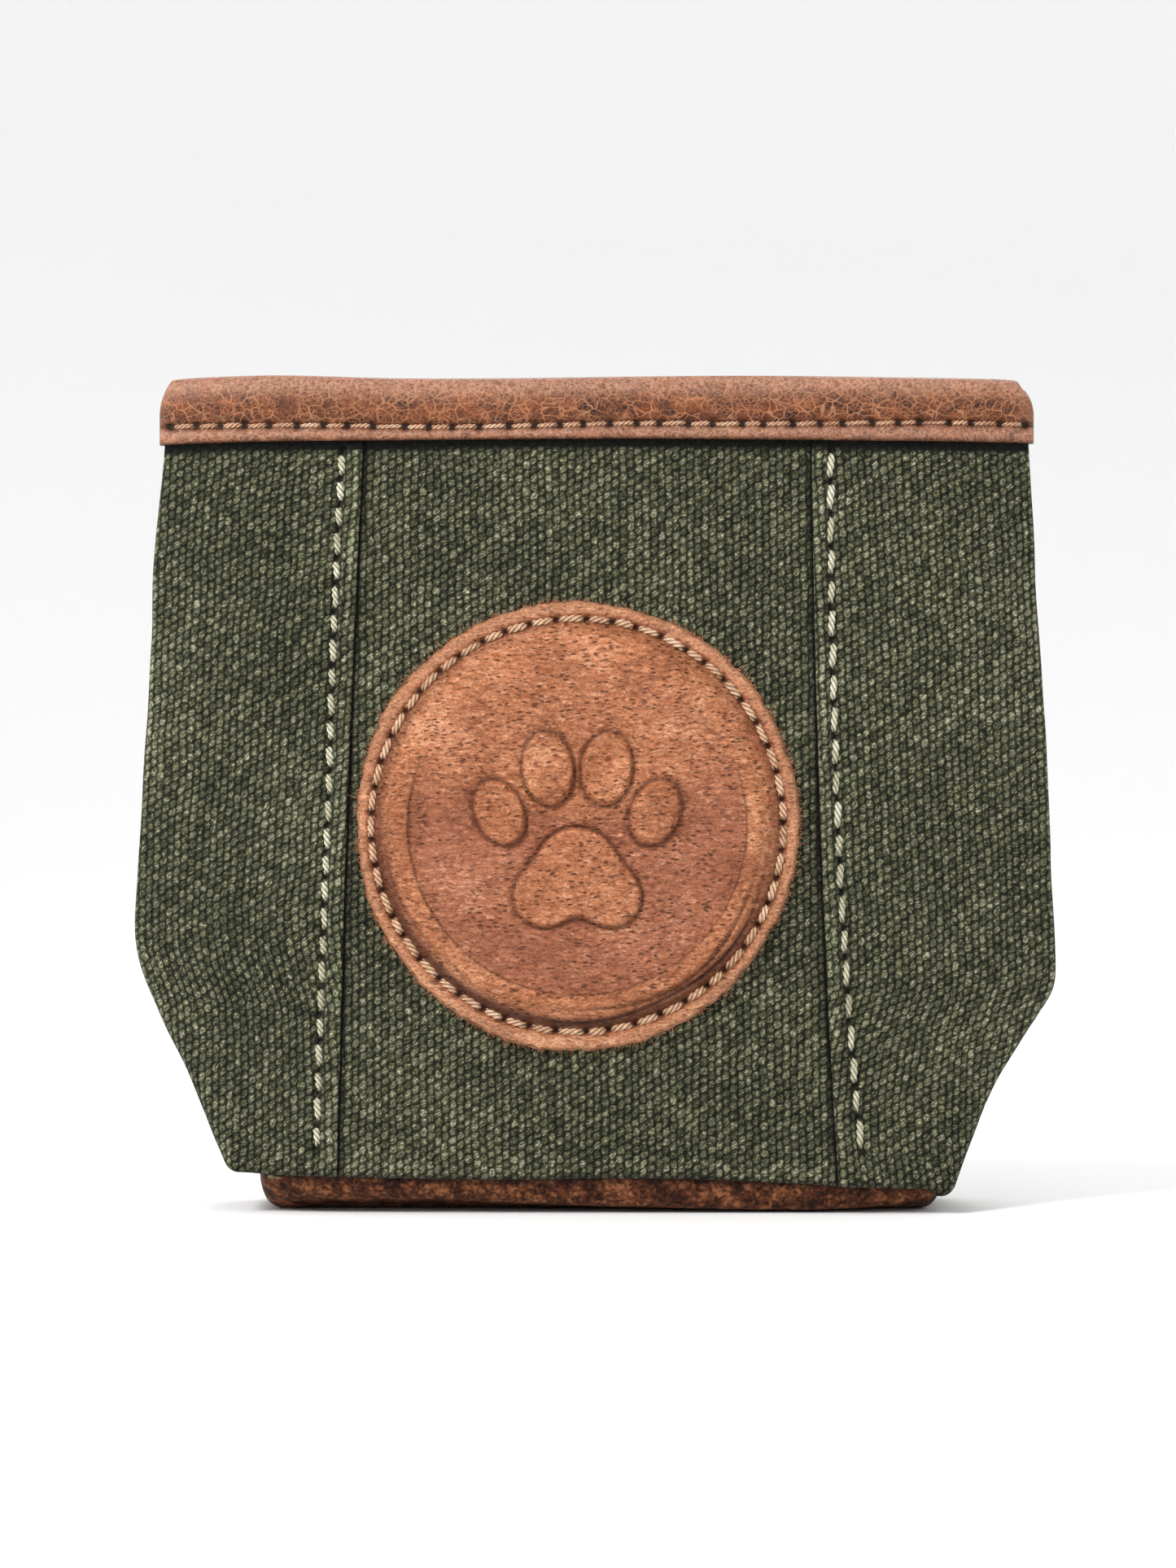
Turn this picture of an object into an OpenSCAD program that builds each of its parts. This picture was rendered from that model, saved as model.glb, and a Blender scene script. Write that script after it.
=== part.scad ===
// Treat pouch: a small canvas bag with a leather base, a leather rim and a round leather patch.
// It stands on its base at z = 0, its front faces -Y, and left is the -X side.
// The front half is one rigid group that swings out about the front edge of the base.

/* [Body] */
// Length of the base, side to side
base_len = 100; // [90:1:110]
// Depth of the base, front to back
base_depth = 30; // [26:1:34]
// Height of the pouch, floor to top of rim
pouch_h = 114.6; // [110:0.2:120]
// Half the width where the folded sides are widest
fold_half_w = 63.2; // [60:0.2:66]
// Height of the point where each side fold opens out towards the base
fold_z = 31; // [26:1:34]
// Half the width across the canvas at the mouth
mouth_half_w = 59.9; // [58:0.1:62]

/* [Panels] */
// Half the width of the centre panels at the mouth
panel_half_top = 31.6; // [28:0.2:34]
// Half the width of the centre panels at the base
panel_half_low = 34.8; // [32:0.2:38]
// Sideways shift of the centre panels
panel_shift = -0.9; // [-2:0.1:2]
// Thickness of the canvas
canvas_t = 0.9; // [0.6:0.1:1]
// Thickness of the lining
lining_t = 0.3; // [0.2:0.1:0.3]
// Height of the turned seam above the floor
seam_z = 4; // [3.6:0.1:4.4]

/* [Leather] */
// Height of the rim binding
rim_h = 9.6; // [8:0.2:11]
// Thickness of the binding leather
rim_t = 1; // [0.8:0.1:1]
// Thickness of the base leather
base_t = 1.5; // [1.2:0.1:1.8]
// Diameter of the patch
patch_d = 61; // [54:1:62]
// Thickness of the patch
patch_t = 1.5; // [1.2:0.1:1.8]
// Height of the patch's centre
patch_z = 52.9; // [46:0.1:56]
// Sideways place of the patch's centre
patch_x = -2.3; // [-3:0.1:2]

/* [Belt loop] */
// Width of the belt loop
loop_w = 36; // [30:1:40]
// Thickness of the belt loop leather
loop_t = 2.2; // [1.8:0.1:2.4]
// Room between the belt loop and the back
loop_gap = 7; // [6.8:0.1:8]

/* [Snap] */
// Diameter of the magnetic snap
snap_d = 14; // [12:0.5:15]
// Height of the snap's centre
snap_z = 93.5; // [93:0.1:94]

/* [Stitching] */
// Thickness of the sewing thread
thread_d = 0.8; // [0.5:0.1:0.8]
// Stitch length on the panel seams
seam_pitch = 4; // [3.5:0.1:5]
// Stitch length on the rim, the patch and the belt loop
fine_pitch = 3.4; // [2.6:0.1:3.8]

/* [Hidden] */
$fn = 32;

FRONT = -1;
BACK = 1;
canvas_colour = [0.30, 0.31, 0.24];
leather_colour = [0.62, 0.40, 0.28];
thread_colour = [0.80, 0.76, 0.60];
lining_colour = [0.42, 0.36, 0.28];
metal_colour = [0.72, 0.62, 0.42];

mid_gap = 0.15;      // from the middle plane to either half of the pouch
layer_gap = 0.45;    // between the canvas and the lining
base_gap = 0.35;     // between the canvas and the base leather under it
fit_gap = 0.1;       // between pieces that are sewn together
lining_in = canvas_t + layer_gap;
wall_t = lining_in + lining_t;
fold_depth = 1.15;   // half the thickness of a folded side
rim_z = pouch_h - rim_h;
canvas_top_z = pouch_h - rim_t - fit_gap;
mouth_depth = mid_gap + rim_t + fit_gap + wall_t;
snap_depth = mid_gap + 2 + wall_t + 0.1;
snap_flat_low_z = 84;  // the walls stand parallel from here up to the rim
snap_flat_top_z = 101;
side_cells = 6;
centre_cells = 10;
last_col = 2 * side_cells + centre_cells;

function lerp(a, b, t) = a + (b - a) * t;
function clamp01(t) = min(1, max(0, t));
function smooth(t) = let (c = clamp01(t)) c * c * (3 - 2 * c);
function share(z, low, high) = (z - low) / (high - low);

// ---- shape of the walls ----

// Half the width of the pouch at height z.
function edge_x(z) = z < fold_z
    ? lerp(base_len / 2, fold_half_w, share(z, seam_z, fold_z))
    : lerp(fold_half_w, mouth_half_w, pow(clamp01(share(z, fold_z, rim_z)), 1.3));

// Half the depth of the flat end between the two creases, which closes to a fold at fold_z.
function end_depth(z) = max(fold_depth, base_depth / 2 * (1 - share(z, seam_z, fold_z)));

// Half the depth of the pouch at its middle.
function centre_depth(z) = z < snap_flat_low_z
    ? lerp(base_depth / 2, snap_depth, share(z, seam_z, snap_flat_low_z))
    : lerp(snap_depth, mouth_depth, smooth(share(z, snap_flat_top_z, rim_z)));

// How flat the wall is across its width: a low power bows, and a high one stays flat to the fold.
function flatness(z) = lerp(2.6, 9, smooth(share(z, 60, rim_z)));

// Distance of the canvas's outer face from the middle plane.
function wall_depth(x, z) = let (e = end_depth(z), t = clamp01(abs(x) / edge_x(z)))
    e + (centre_depth(z) - e) * (1 - pow(t, flatness(z)));

function panel_half(z) = lerp(panel_half_low, panel_half_top, clamp01(share(z, seam_z, rim_z)));
function seam_x(side, z) = panel_shift + side * panel_half(z);

// The walls are drawn on one grid, so that layers on each other stay parallel.
function col_x(i, z) = i <= side_cells
    ? lerp(-edge_x(z), seam_x(-1, z), i / side_cells)
    : i <= side_cells + centre_cells
        ? lerp(seam_x(-1, z), seam_x(1, z), (i - side_cells) / centre_cells)
        : lerp(seam_x(1, z), edge_x(z), (i - side_cells - centre_cells) / side_cells);

function heights(low, high, n) = [for (k = [0 : n]) lerp(low, high, k / n)];
wall_heights = concat(heights(seam_z, fold_z, 5),
    [for (z = heights(fold_z, snap_flat_low_z, 7)) if (z > fold_z) z],
    [snap_flat_top_z, rim_z - fit_gap, canvas_top_z]);

// ---- generic solids ----

// A closed sheet between two grids of points, outer[row][column] and inner[row][column].
module sheet(outer, inner) {
    rows = len(outer);
    cols = len(outer[0]);
    n = rows * cols;
    function at(j, i) = j * cols + i;
    function quad(a, b, c, d) = [[a, b, c], [a, c, d]];
    skin = [for (j = [0 : rows - 2]) for (i = [0 : cols - 2])
        each quad(at(j, i), at(j + 1, i), at(j + 1, i + 1), at(j, i + 1))];
    back = [for (f = skin) [f[2] + n, f[1] + n, f[0] + n]];
    low = [for (i = [0 : cols - 2]) each quad(at(0, i + 1), at(0, i + 1) + n, at(0, i) + n, at(0, i))];
    top = [for (i = [0 : cols - 2])
        each quad(at(rows - 1, i), at(rows - 1, i) + n, at(rows - 1, i + 1) + n, at(rows - 1, i + 1))];
    left = [for (j = [0 : rows - 2]) each quad(at(j, 0), at(j, 0) + n, at(j + 1, 0) + n, at(j + 1, 0))];
    right = [for (j = [0 : rows - 2])
        each quad(at(j + 1, cols - 1), at(j + 1, cols - 1) + n, at(j, cols - 1) + n, at(j, cols - 1))];
    faces = concat(skin, back, low, top, left, right);
    polyhedron(points = concat([for (r = outer) each r], [for (r = inner) each r]), faces = faces);
}

// A rectangle with round corners, from squares and circles so that its arcs stay true.
module round_rect(w, h, r) {
    square([w - 2 * r, h], center = true);
    square([w, h - 2 * r], center = true);
    for (x = [-1, 1], y = [-1, 1])
        translate([x * (w / 2 - r), y * (h / 2 - r)]) circle(r);
}

// One stitch from p to q.
module stitch(p, q) {
    d = q - p;
    flat = norm([d[0], d[1]]);
    translate(p) rotate([0, atan2(flat, d[2]), atan2(d[1], d[0])])
        cylinder(d = thread_d, h = norm(d), $fn = 16);
}

// A run of stitches on a wall: route(t) is reached through points, a list of [x, z] in sewing order.
module wall_stitches(points, half, lift) {
    function place(p) = [p[0], half * (wall_depth(p[0], p[1]) + lift + thread_d / 2), p[1]];
    for (k = [0 : len(points) - 2])
        stitch(place(lerp(points[k], points[k + 1], 0.14)), place(lerp(points[k], points[k + 1], 0.86)));
}

// ---- canvas and lining ----

function wall_point(i, z, half, depth_in) = let (x = col_x(i, z))
    [x, half * (wall_depth(x, z) - depth_in), z];

// Rows of a wall from column first to column last, depth_in behind the canvas's outer face.
function wall_grid(first, last, half, depth_in, inset, levels) = [for (z = levels)
    [for (k = [0 : last - first]) let (p = wall_point(first + k, z, half, depth_in))
        [p[0] + (k == 0 ? inset : k == last - first ? -inset : 0), p[1], p[2]]]];

// Wall sheets are listed left to right on the front, and right to left on the back, to face outwards.
function turned(grid, half) = half == FRONT ? grid : [for (r = grid) [for (i = [len(r) - 1 : -1 : 0]) r[i]]];

module wall_sheet(first, last, half, out, inn, inset, levels) {
    sheet(turned(wall_grid(first, last, half, out, inset, levels), half),
        turned(wall_grid(first, last, half, inn, inset, levels), half));
}

module centre_panel(half) {
    color(canvas_colour)
        wall_sheet(side_cells, side_cells + centre_cells, half, 0, canvas_t, fit_gap / 2, wall_heights);
}

// Half of a side panel: from the seam out to the crease or fold, then in to the middle plane.
module side_half(side, half) {
    function column(k) = side < 0 ? side_cells - k : side_cells + centre_cells + k;
    function outer_row(z) = concat(
        [for (k = [0 : side_cells]) let (p = wall_point(column(k), z, half, 0))
            [p[0] + (k == 0 ? side * fit_gap / 2 : 0), p[1], z]],
        [[side * edge_x(z), half * mid_gap, z]]);
    function inner_y(x, z, k) = max(wall_depth(x, z) - canvas_t, mid_gap + 0.1 + 0.02 * (side_cells - k));
    function inner_row(z) = concat(
        [for (k = [0 : side_cells]) let (x = col_x(column(k), z), limit = edge_x(z) - canvas_t)
            [side * min(abs(x), limit) + (k == 0 ? side * fit_gap / 2 : 0), half * inner_y(x, z, k), z]],
        [[side * (edge_x(z) - canvas_t), half * mid_gap, z]]);
    function facing(row) = side * half < 0 ? row : [for (i = [len(row) - 1 : -1 : 0]) row[i]];
    color(canvas_colour)
        sheet([for (z = wall_heights) facing(outer_row(z))], [for (z = wall_heights) facing(inner_row(z))]);
}

module lining(half) {
    levels = [for (z = wall_heights) z == seam_z ? seam_z + 1.6 : z];
    color(lining_colour) wall_sheet(2, last_col - 2, half, lining_in, wall_t, 0, levels);
}

// ---- leather ----

module base_panel() {
    corner_r = 4;
    color(leather_colour) {
        linear_extrude(base_t) round_rect(base_len, base_depth, corner_r);
        linear_extrude(seam_z - base_gap) difference() {
            round_rect(base_len, base_depth, corner_r);
            round_rect(base_len - 2 * base_t, base_depth - 2 * base_t, corner_r - base_t);
        }
    }
}

module base_lining() {
    color(lining_colour) translate([0, 0, base_t + fit_gap])
        linear_extrude(lining_t) round_rect(base_len - 2 * base_t - 1, base_depth - 2 * base_t - 1, 2);
}

// The binding covers both faces of the canvas edge; near the folds it has no room for its inner leg.
module rim_binding(half) {
    inner_leg_x = 40;
    slot_x = mouth_half_w + fit_gap;
    end_x = slot_x + 0.8;
    slot_end = fold_depth + fit_gap / 2;
    run = [for (i = [0 : last_col]) let (x = col_x(i, rim_z)) [x, wall_depth(x, rim_z) + fit_gap / 2]];
    outline = concat([[-end_x, mid_gap], [-end_x, slot_end + rim_t]], [for (p = run) [p[0], p[1] + rim_t]],
        [[end_x, slot_end + rim_t], [end_x, mid_gap]]);
    slot = concat([[-slot_x, mid_gap - 1], [-slot_x, slot_end]], run,
        [[slot_x, slot_end], [slot_x, mid_gap - 1], [inner_leg_x, mid_gap - 1]],
        [[inner_leg_x, mid_gap + rim_t], [-inner_leg_x, mid_gap + rim_t], [-inner_leg_x, mid_gap - 1]]);
    color(leather_colour) translate([0, 0, rim_z]) scale([1, half, 1]) difference() {
        linear_extrude(rim_h) polygon(outline);
        translate([0, 0, -1]) linear_extrude(rim_h - rim_t + 1) polygon(slot);
    }
}

module patch() {
    levels = heights(patch_z - patch_d / 2 - 2, patch_z + patch_d / 2 + 2, 12);
    color(leather_colour) intersection() {
        wall_sheet(side_cells, side_cells + centre_cells, FRONT, -patch_t - 0.25, -0.25, 0, levels);
        translate([patch_x, 0, patch_z]) rotate([90, 0, 0]) cylinder(d = patch_d, h = base_depth, $fn = 96);
    }
}

// The belt loop lies on the back at both ends and stands off it between them.
loop_top_z = 98;
loop_low_z = 20;
loop_tab = 10;
loop_ramp = 8;
function loop_lift(z) = fit_gap * 2 + loop_gap * smooth((z - loop_low_z - loop_tab) / loop_ramp)
    * smooth((loop_top_z - loop_tab - z) / loop_ramp);
function loop_y(z) = wall_depth(0, z) + loop_lift(z);

module belt_loop() {
    levels = heights(loop_low_z, loop_top_z, 39);
    outline = concat([for (z = levels) [loop_y(z), z]],
        [for (k = [len(levels) - 1 : -1 : 0]) [loop_y(levels[k]) + loop_t, levels[k]]]);
    color(leather_colour) translate([panel_shift - loop_w / 2, 0, 0])
        rotate([90, 0, 90]) linear_extrude(loop_w) polygon(outline);
}

// ---- snap ----

snap_body_t = 2;
post_d = 3.2;
hole_d = 4.8;

module snap_place(y) {
    translate([panel_shift, y, snap_z]) rotate([-90, 0, 0]) children();
}

module snap_socket() {
    color(metal_colour) snap_place(-mid_gap - snap_body_t) difference() {
        cylinder(d = snap_d, h = snap_body_t);
        translate([0, 0, 0.4]) cylinder(d = hole_d, h = snap_body_t);
    }
}

module snap_stud() {
    color(metal_colour) snap_place(mid_gap) {
        cylinder(d = snap_d, h = snap_body_t);
        translate([0, 0, -1.5]) cylinder(d = post_d, h = 2);
    }
}

// A thin steel washer between lining and canvas, which holds the snap's prongs.
module snap_washer(half) {
    washer_t = 0.3;
    y = centre_depth(snap_z) - canvas_t - layer_gap / 2;
    color(metal_colour) snap_place(half * y - washer_t / 2) difference() {
        cylinder(d = snap_d - 2, h = washer_t);
        translate([0, 0, -1]) cylinder(d = 3, h = washer_t + 2);
    }
}

// ---- stitching ----

function seam_run(side) = let (n = floor((rim_z - seam_z - 6) / seam_pitch), low = seam_z + 3.5)
    [for (k = [0 : n]) let (z = low + k * seam_pitch) [seam_x(side, z) + side * 2.5, z]];

module seam_stitching(side, half) {
    color(thread_colour) wall_stitches(seam_run(side), half, 0.15);
}

module rim_stitching(half) {
    z = rim_z + 3;
    n = floor(2 * (mouth_half_w - 4) / fine_pitch);
    run = [for (k = [0 : n]) [(k - n / 2) * fine_pitch, z]];
    function depth(x) = max([for (i = [0 : last_col - 1]) let (a = col_x(i, rim_z), b = col_x(i + 1, rim_z))
        x >= a && x <= b ? lerp(wall_depth(a, rim_z), wall_depth(b, rim_z), (x - a) / (b - a)) : 0]);
    function place(p) = [p[0], half * (depth(p[0]) + rim_t + fit_gap + thread_d / 2), p[1]];
    color(thread_colour) for (k = [0 : n - 1])
        stitch(place(lerp(run[k], run[k + 1], 0.14)), place(lerp(run[k], run[k + 1], 0.86)));
}

module patch_stitching() {
    r = patch_d / 2 - 2.3;
    n = floor(2 * PI * r / fine_pitch);
    run = [for (k = [0 : n]) [patch_x + r * cos(360 * k / n), patch_z + r * sin(360 * k / n)]];
    color(thread_colour) wall_stitches(run, FRONT, patch_t + 0.45);
}

module belt_loop_stitching() {
    half_w = loop_w / 2 - 3.2;
    n = floor(2 * half_w / fine_pitch);
    function place(x, z) = [panel_shift + x, loop_y(z) + loop_t + thread_d / 2 + 0.1, z];
    color(thread_colour) for (z = [loop_low_z + 2.5, loop_low_z + 8, loop_top_z - 8, loop_top_z - 2.5])
        for (k = [0 : n - 1]) let (x = (k - n / 2) * fine_pitch)
            stitch(place(x + 0.4, z), place(x + fine_pitch - 0.4, z));
}

base_panel();
base_lining();
centre_panel(BACK);  // back_panel
side_half(-1, BACK);  // side_panel_left_back
side_half(1, BACK);  // side_panel_right_back
lining(BACK);  // lining_back
rim_binding(BACK);  // rim_binding_back
rim_stitching(BACK);  // rim_stitching_back
seam_stitching(-1, BACK);  // seam_stitching_back_left
seam_stitching(1, BACK);  // seam_stitching_back_right
belt_loop();
belt_loop_stitching();
snap_stud();
snap_washer(BACK);  // snap_stud_washer
centre_panel(FRONT);  // front_panel
side_half(-1, FRONT);  // side_panel_left_front
side_half(1, FRONT);  // side_panel_right_front
lining(FRONT);  // lining_front
rim_binding(FRONT);  // rim_binding_front
rim_stitching(FRONT);  // rim_stitching_front
seam_stitching(-1, FRONT);  // seam_stitching_front_left
seam_stitching(1, FRONT);  // seam_stitching_front_right
patch();
patch_stitching();
snap_socket();
snap_washer(FRONT);  // snap_socket_washer
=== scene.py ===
"""A treat pouch in canvas and leather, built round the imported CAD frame.

Lengths in the code are millimetres until a mesh is made.
"""
import math

import bmesh
import bpy
import numpy as np
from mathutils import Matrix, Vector


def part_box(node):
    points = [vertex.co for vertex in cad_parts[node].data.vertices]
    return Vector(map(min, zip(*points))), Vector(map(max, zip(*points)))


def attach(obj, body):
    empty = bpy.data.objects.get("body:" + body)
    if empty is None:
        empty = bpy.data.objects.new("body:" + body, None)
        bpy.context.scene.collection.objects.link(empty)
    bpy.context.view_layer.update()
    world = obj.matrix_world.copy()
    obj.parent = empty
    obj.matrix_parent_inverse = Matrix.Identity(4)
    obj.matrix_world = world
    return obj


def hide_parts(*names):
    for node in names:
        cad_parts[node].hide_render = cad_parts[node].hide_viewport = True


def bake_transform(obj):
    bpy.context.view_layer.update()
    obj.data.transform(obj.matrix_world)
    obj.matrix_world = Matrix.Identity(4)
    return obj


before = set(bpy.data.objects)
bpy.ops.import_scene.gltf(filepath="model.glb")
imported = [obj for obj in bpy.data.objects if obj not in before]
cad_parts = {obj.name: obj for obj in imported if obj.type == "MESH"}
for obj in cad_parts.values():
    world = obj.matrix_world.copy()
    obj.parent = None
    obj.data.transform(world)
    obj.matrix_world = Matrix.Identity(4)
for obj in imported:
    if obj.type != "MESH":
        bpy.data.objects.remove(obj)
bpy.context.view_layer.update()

MM = 0.001
LEFT, RIGHT = -1, 1
FRONT, BACK = -1, 1
SIDE_NAME = {LEFT: "left", RIGHT: "right"}
FACE_NAME = {FRONT: "front", BACK: "back"}
FACE_BODY = {FRONT: "front", BACK: "bag"}
SEAM_Z, RIM_Z = 4.0, 105.0  # where the walls start above the base, and where the rim covers them
CORNER_Z, FLANK_H = 31, 73  # height of the corners in the outline, and of the sides above them
FOLD_R = 2.0  # greatest radius of the round corner beside a fold
ROLL_R = 1.4  # of the canvas's turned lower edge
CANVAS_T, LINING_T = 0.9, 0.3
LAP_T = 0.42  # cloth under a lapped edge, besides the edge's own rise
FAR = 99.0  # stands for a distance that is out of reach
BLEND_X = 34  # where the front and back bodies begin to share the cloth
SNAP_X, SNAP_Z = -0.9, 93.5
PATCH_X, PATCH_Z = -2.3, 52.9


# ---------------------------------------------------------------- small maths

def lerp(a, b, t):
    return a + (b - a) * t


def clamp(t):
    return np.clip(t, 0.0, 1.0)


def smooth(t):
    t = clamp(t)
    return t * t * (3 - 2 * t)


def bump(t, width):
    """A soft hill of height 1 at t = 0."""
    return np.exp(-(t / width) ** 2)


def soft_min(a, b, k):
    return -k * np.logaddexp(-a / k, -b / k)


def soft_max(a, b, k):
    return k * np.logaddexp(a / k, b / k)


def waves(p, size, seed, octaves=3):
    """Smooth noise between about -1 and 1, a sum of tilted sine waves drawn from seed."""
    r = np.random.default_rng(seed)
    total = np.zeros(p.shape[:-1])
    weight = 0.0
    for o in range(octaves):
        for _ in range(5):
            d = r.normal(size=3)
            d *= 2 * math.pi / (size * 0.5 ** o * r.uniform(0.8, 1.3)) / np.linalg.norm(d)
            total += 0.5 ** o * np.sin(p @ d + r.uniform(0, 6.28))
        weight += 0.5 ** o * 2.2
    return total / weight


# ---------------------------------------------------------------- shape of the pouch

def half_width(side, z):
    """Half the width of the pouch at height z: widest near CORNER_Z, and narrower at the base."""
    z = np.asarray(z, float)
    up = np.maximum(z - CORNER_Z, 0) / FLANK_H
    left = soft_min(64.3 - 4.7 * (z - CORNER_Z) / FLANK_H, 48.6 + 0.49 * (z - 3), 1.4)
    d = z - 3
    right = soft_min(63.8 - 3.5 * up ** 1.2, 48.8 + 0.36 * d + 0.0074 * d * d, 0.7)
    return np.where(np.asarray(side) < 0, left, right)


def end_half(z):
    """Half the depth of the flat end between its two creases, which closes to a fold above CORNER_Z."""
    return soft_max(1.2 + 0 * z, 14.4 * (1 - (z - SEAM_Z) / 27.5), 0.7)


def centre_half(z):
    """Half the depth of the pouch at its middle."""
    t = clamp((z - SEAM_Z) / (RIM_Z - SEAM_Z))
    return 2.95 + 12.05 * (1 - t) ** 1.1


def flat_power(z):
    return 2.6 + 6.4 * smooth((z - 60) / 45)


def section(side, z):
    """Where the wall hands over to the round corner at height z: corner radius, x, depth and angle there."""
    xf, e, c, p = half_width(side, z), end_half(z), centre_half(z), flat_power(z)
    r = np.minimum(e, FOLD_R)
    angle = np.zeros_like(xf)
    for _ in range(4):
        xa = xf - r + r * np.sin(angle)
        da = e - r + r * np.cos(angle)
        angle = np.arctan(np.maximum(c - da, 0) * p / xa)
    return xf, e, r, xa, da, angle


def wall_depth(x, z):
    """Distance of the canvas's outer face from the middle plane, away from the folds."""
    side = np.where(x < 0, LEFT, RIGHT)
    _, _, _, xa, da, _ = section(side, z)
    return da + (centre_half(z) - da) * (1 - clamp(np.abs(x) / xa) ** flat_power(z))


def seam_x(side, z):
    """The seam between the centre panel and a side panel."""
    t = clamp((RIM_Z - z) / (RIM_Z - SEAM_Z))
    left = -31.9 - 3.0 * (1 - (1 - t) ** 1.5)
    right = 30.05 + 3.1 * t ** 1.75
    return np.where(np.asarray(side) < 0, left, right)


def stitch_offset(side, z):
    """How far outside its seam a side panel's topstitching runs."""
    t = clamp((RIM_Z - z) / (RIM_Z - SEAM_Z))
    return np.where(np.asarray(side) < 0, 2.75 + 0.12 * np.sin(9 * t), 2.55 - 0.3 * np.sin(3.1 * t) + 1.0 * t ** 3)


def low_z(x):
    """Height of the canvas's turned lower edge."""
    line = 4.9 - 1.3 * smooth((x + 8) / 58) + 0.22 * np.sin(x / 9.0)
    return line - 1.0 * bump(x - 48.4, 2.3) + 0.5 * bump(x + 49, 5)


def seam_ridge(s, side, z):
    """Height of the lapped seam over the side panel, s outside the seam line. The rim presses it flat."""
    s0 = stitch_offset(side, z)
    ridge = 0.6 * smooth(s / 0.7) * (1 - smooth((s - s0 + 1.1) / 1.2))
    return (ridge - 0.32 * bump(s - s0, 0.55) + 0.16 * bump(s - s0 - 1.5, 1.0)) * under_rim(z)


def under_rim(z):
    """1 below the rim, falling to 0 where the rim covers the canvas."""
    return 1 - smooth((z - 104.8) / 0.9)


def needle_holes(side):
    """Heights of the holes of a seam's topstitching: 3.7 apart on the left and 4.4 on the right."""
    n = 26 if side == LEFT else 22
    jitter = np.random.default_rng(11 + side).uniform(-0.25, 0.25, n + 1)
    return np.linspace(8.6, 104.4, n + 1) + jitter


def hole_dent(s, z, side):
    s0 = stitch_offset(side, z)
    near = np.min(np.abs(z[..., None] - needle_holes(side)), axis=-1)
    return np.exp(-((s - s0) / 0.62) ** 2 - (near / 0.70) ** 2)


def canvas_swell(p):
    """Soft dents and swells of the cloth, kept off the rim and the base seam."""
    x, y, z = p[..., 0], p[..., 1], p[..., 2]
    hold = smooth((RIM_Z - z) / 14) * smooth((z - SEAM_Z) / 8)
    fold = smooth((np.abs(x) - 46) / 12)
    swell = 0.75 * waves(p * [1, 0.4, 0.8], 44, 3) * (1 - 0.4 * fold)
    swell = swell + 0.2 * waves(p, 14, 5) * (1 - 0.85 * fold)
    front = y < 0
    dents = 0.55 * bump(x - 22 + 0.9 * (z - 14), 3.6) * bump(z - 15, 6) * front
    dents += 0.4 * bump(x + 46 - 0.35 * (z - 12), 3.4) * bump(z - 12, 4.5) * front
    dents += 0.45 * bump(x - 52 + 0.5 * (z - 22), 4.5) * bump(z - 20, 10)
    dents += 0.45 * bump(x + 54 - 0.5 * (z - 24), 4.5) * bump(z - 22, 10)
    dents += 0.45 * bump(z - 84 - 0.45 * (x + 50), 4.0) * bump(x + 50, 9)
    dents += 0.4 * bump(z - 90 + 0.35 * x, 4.5) * bump(x - 8, 14) * front
    return swell * hold - dents * smooth((z - SEAM_Z - 1) / 3)


# ---------------------------------------------------------------- mesh building

def unit(v):
    return v / np.maximum(np.linalg.norm(v, axis=-1, keepdims=True), 1e-9)


def normals(p):
    """Normals of a grid of points, along rows x columns."""
    return unit(np.cross(np.gradient(p, axis=1), np.gradient(p, axis=0)))


def make_mesh(name, points, faces, uv=None, marks=None):
    """A linked mesh. uv holds one pair per point, and marks a value per point for each attribute."""
    me = bpy.data.meshes.new(name)
    me.from_pydata((np.asarray(points) * MM).tolist(), [], faces)
    me.validate()
    me.shade_smooth()
    if uv is not None:
        layer = me.uv_layers.new(name="cloth_mm")
        loops = np.zeros(len(me.loops), np.int32)
        me.loops.foreach_get("vertex_index", loops)
        layer.data.foreach_set("uv", np.asarray(uv, np.float32)[loops].ravel())
    for key, values in (marks or {}).items():
        a = me.attributes.new(key, "FLOAT", "POINT")
        a.data.foreach_set("value", np.asarray(values, np.float32).ravel())
    o = bpy.data.objects.new(name, me)
    bpy.context.collection.objects.link(o)
    return o


def quads_of(*corners):
    """Four-sided faces from four grids of point numbers."""
    return np.stack([c.ravel() for c in corners], axis=1)


def shell(name, outer, inner, uv=None, marks=None, loop=False):
    """A closed solid between two grids of points. With loop, every row closes on itself."""
    rows, cols = outer.shape[:2]
    n = rows * cols
    idx = np.arange(n).reshape(rows, cols)
    nxt = np.roll(idx, -1, axis=1) if loop else idx[:, 1:]
    cur = idx if loop else idx[:, :-1]
    faces = [quads_of(cur[:-1], nxt[:-1], nxt[1:], cur[1:]),
             quads_of(cur[:-1] + n, cur[1:] + n, nxt[1:] + n, nxt[:-1] + n),
             quads_of(cur[0], cur[0] + n, nxt[0] + n, nxt[0]),
             quads_of(cur[-1], nxt[-1], nxt[-1] + n, cur[-1] + n)]
    if not loop:
        faces.append(quads_of(idx[:-1, 0], idx[1:, 0], idx[1:, 0] + n, idx[:-1, 0] + n))
        faces.append(quads_of(idx[:-1, -1], idx[:-1, -1] + n, idx[1:, -1] + n, idx[1:, -1]))
    points = np.concatenate([outer.reshape(-1, 3), inner.reshape(-1, 3)])
    two = lambda v: None if v is None else np.concatenate([v.reshape(n, -1)] * 2)
    marks = {k: two(v) for k, v in (marks or {}).items()}
    return make_mesh(name, points, np.concatenate(faces).tolist(), two(uv), marks)


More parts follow.
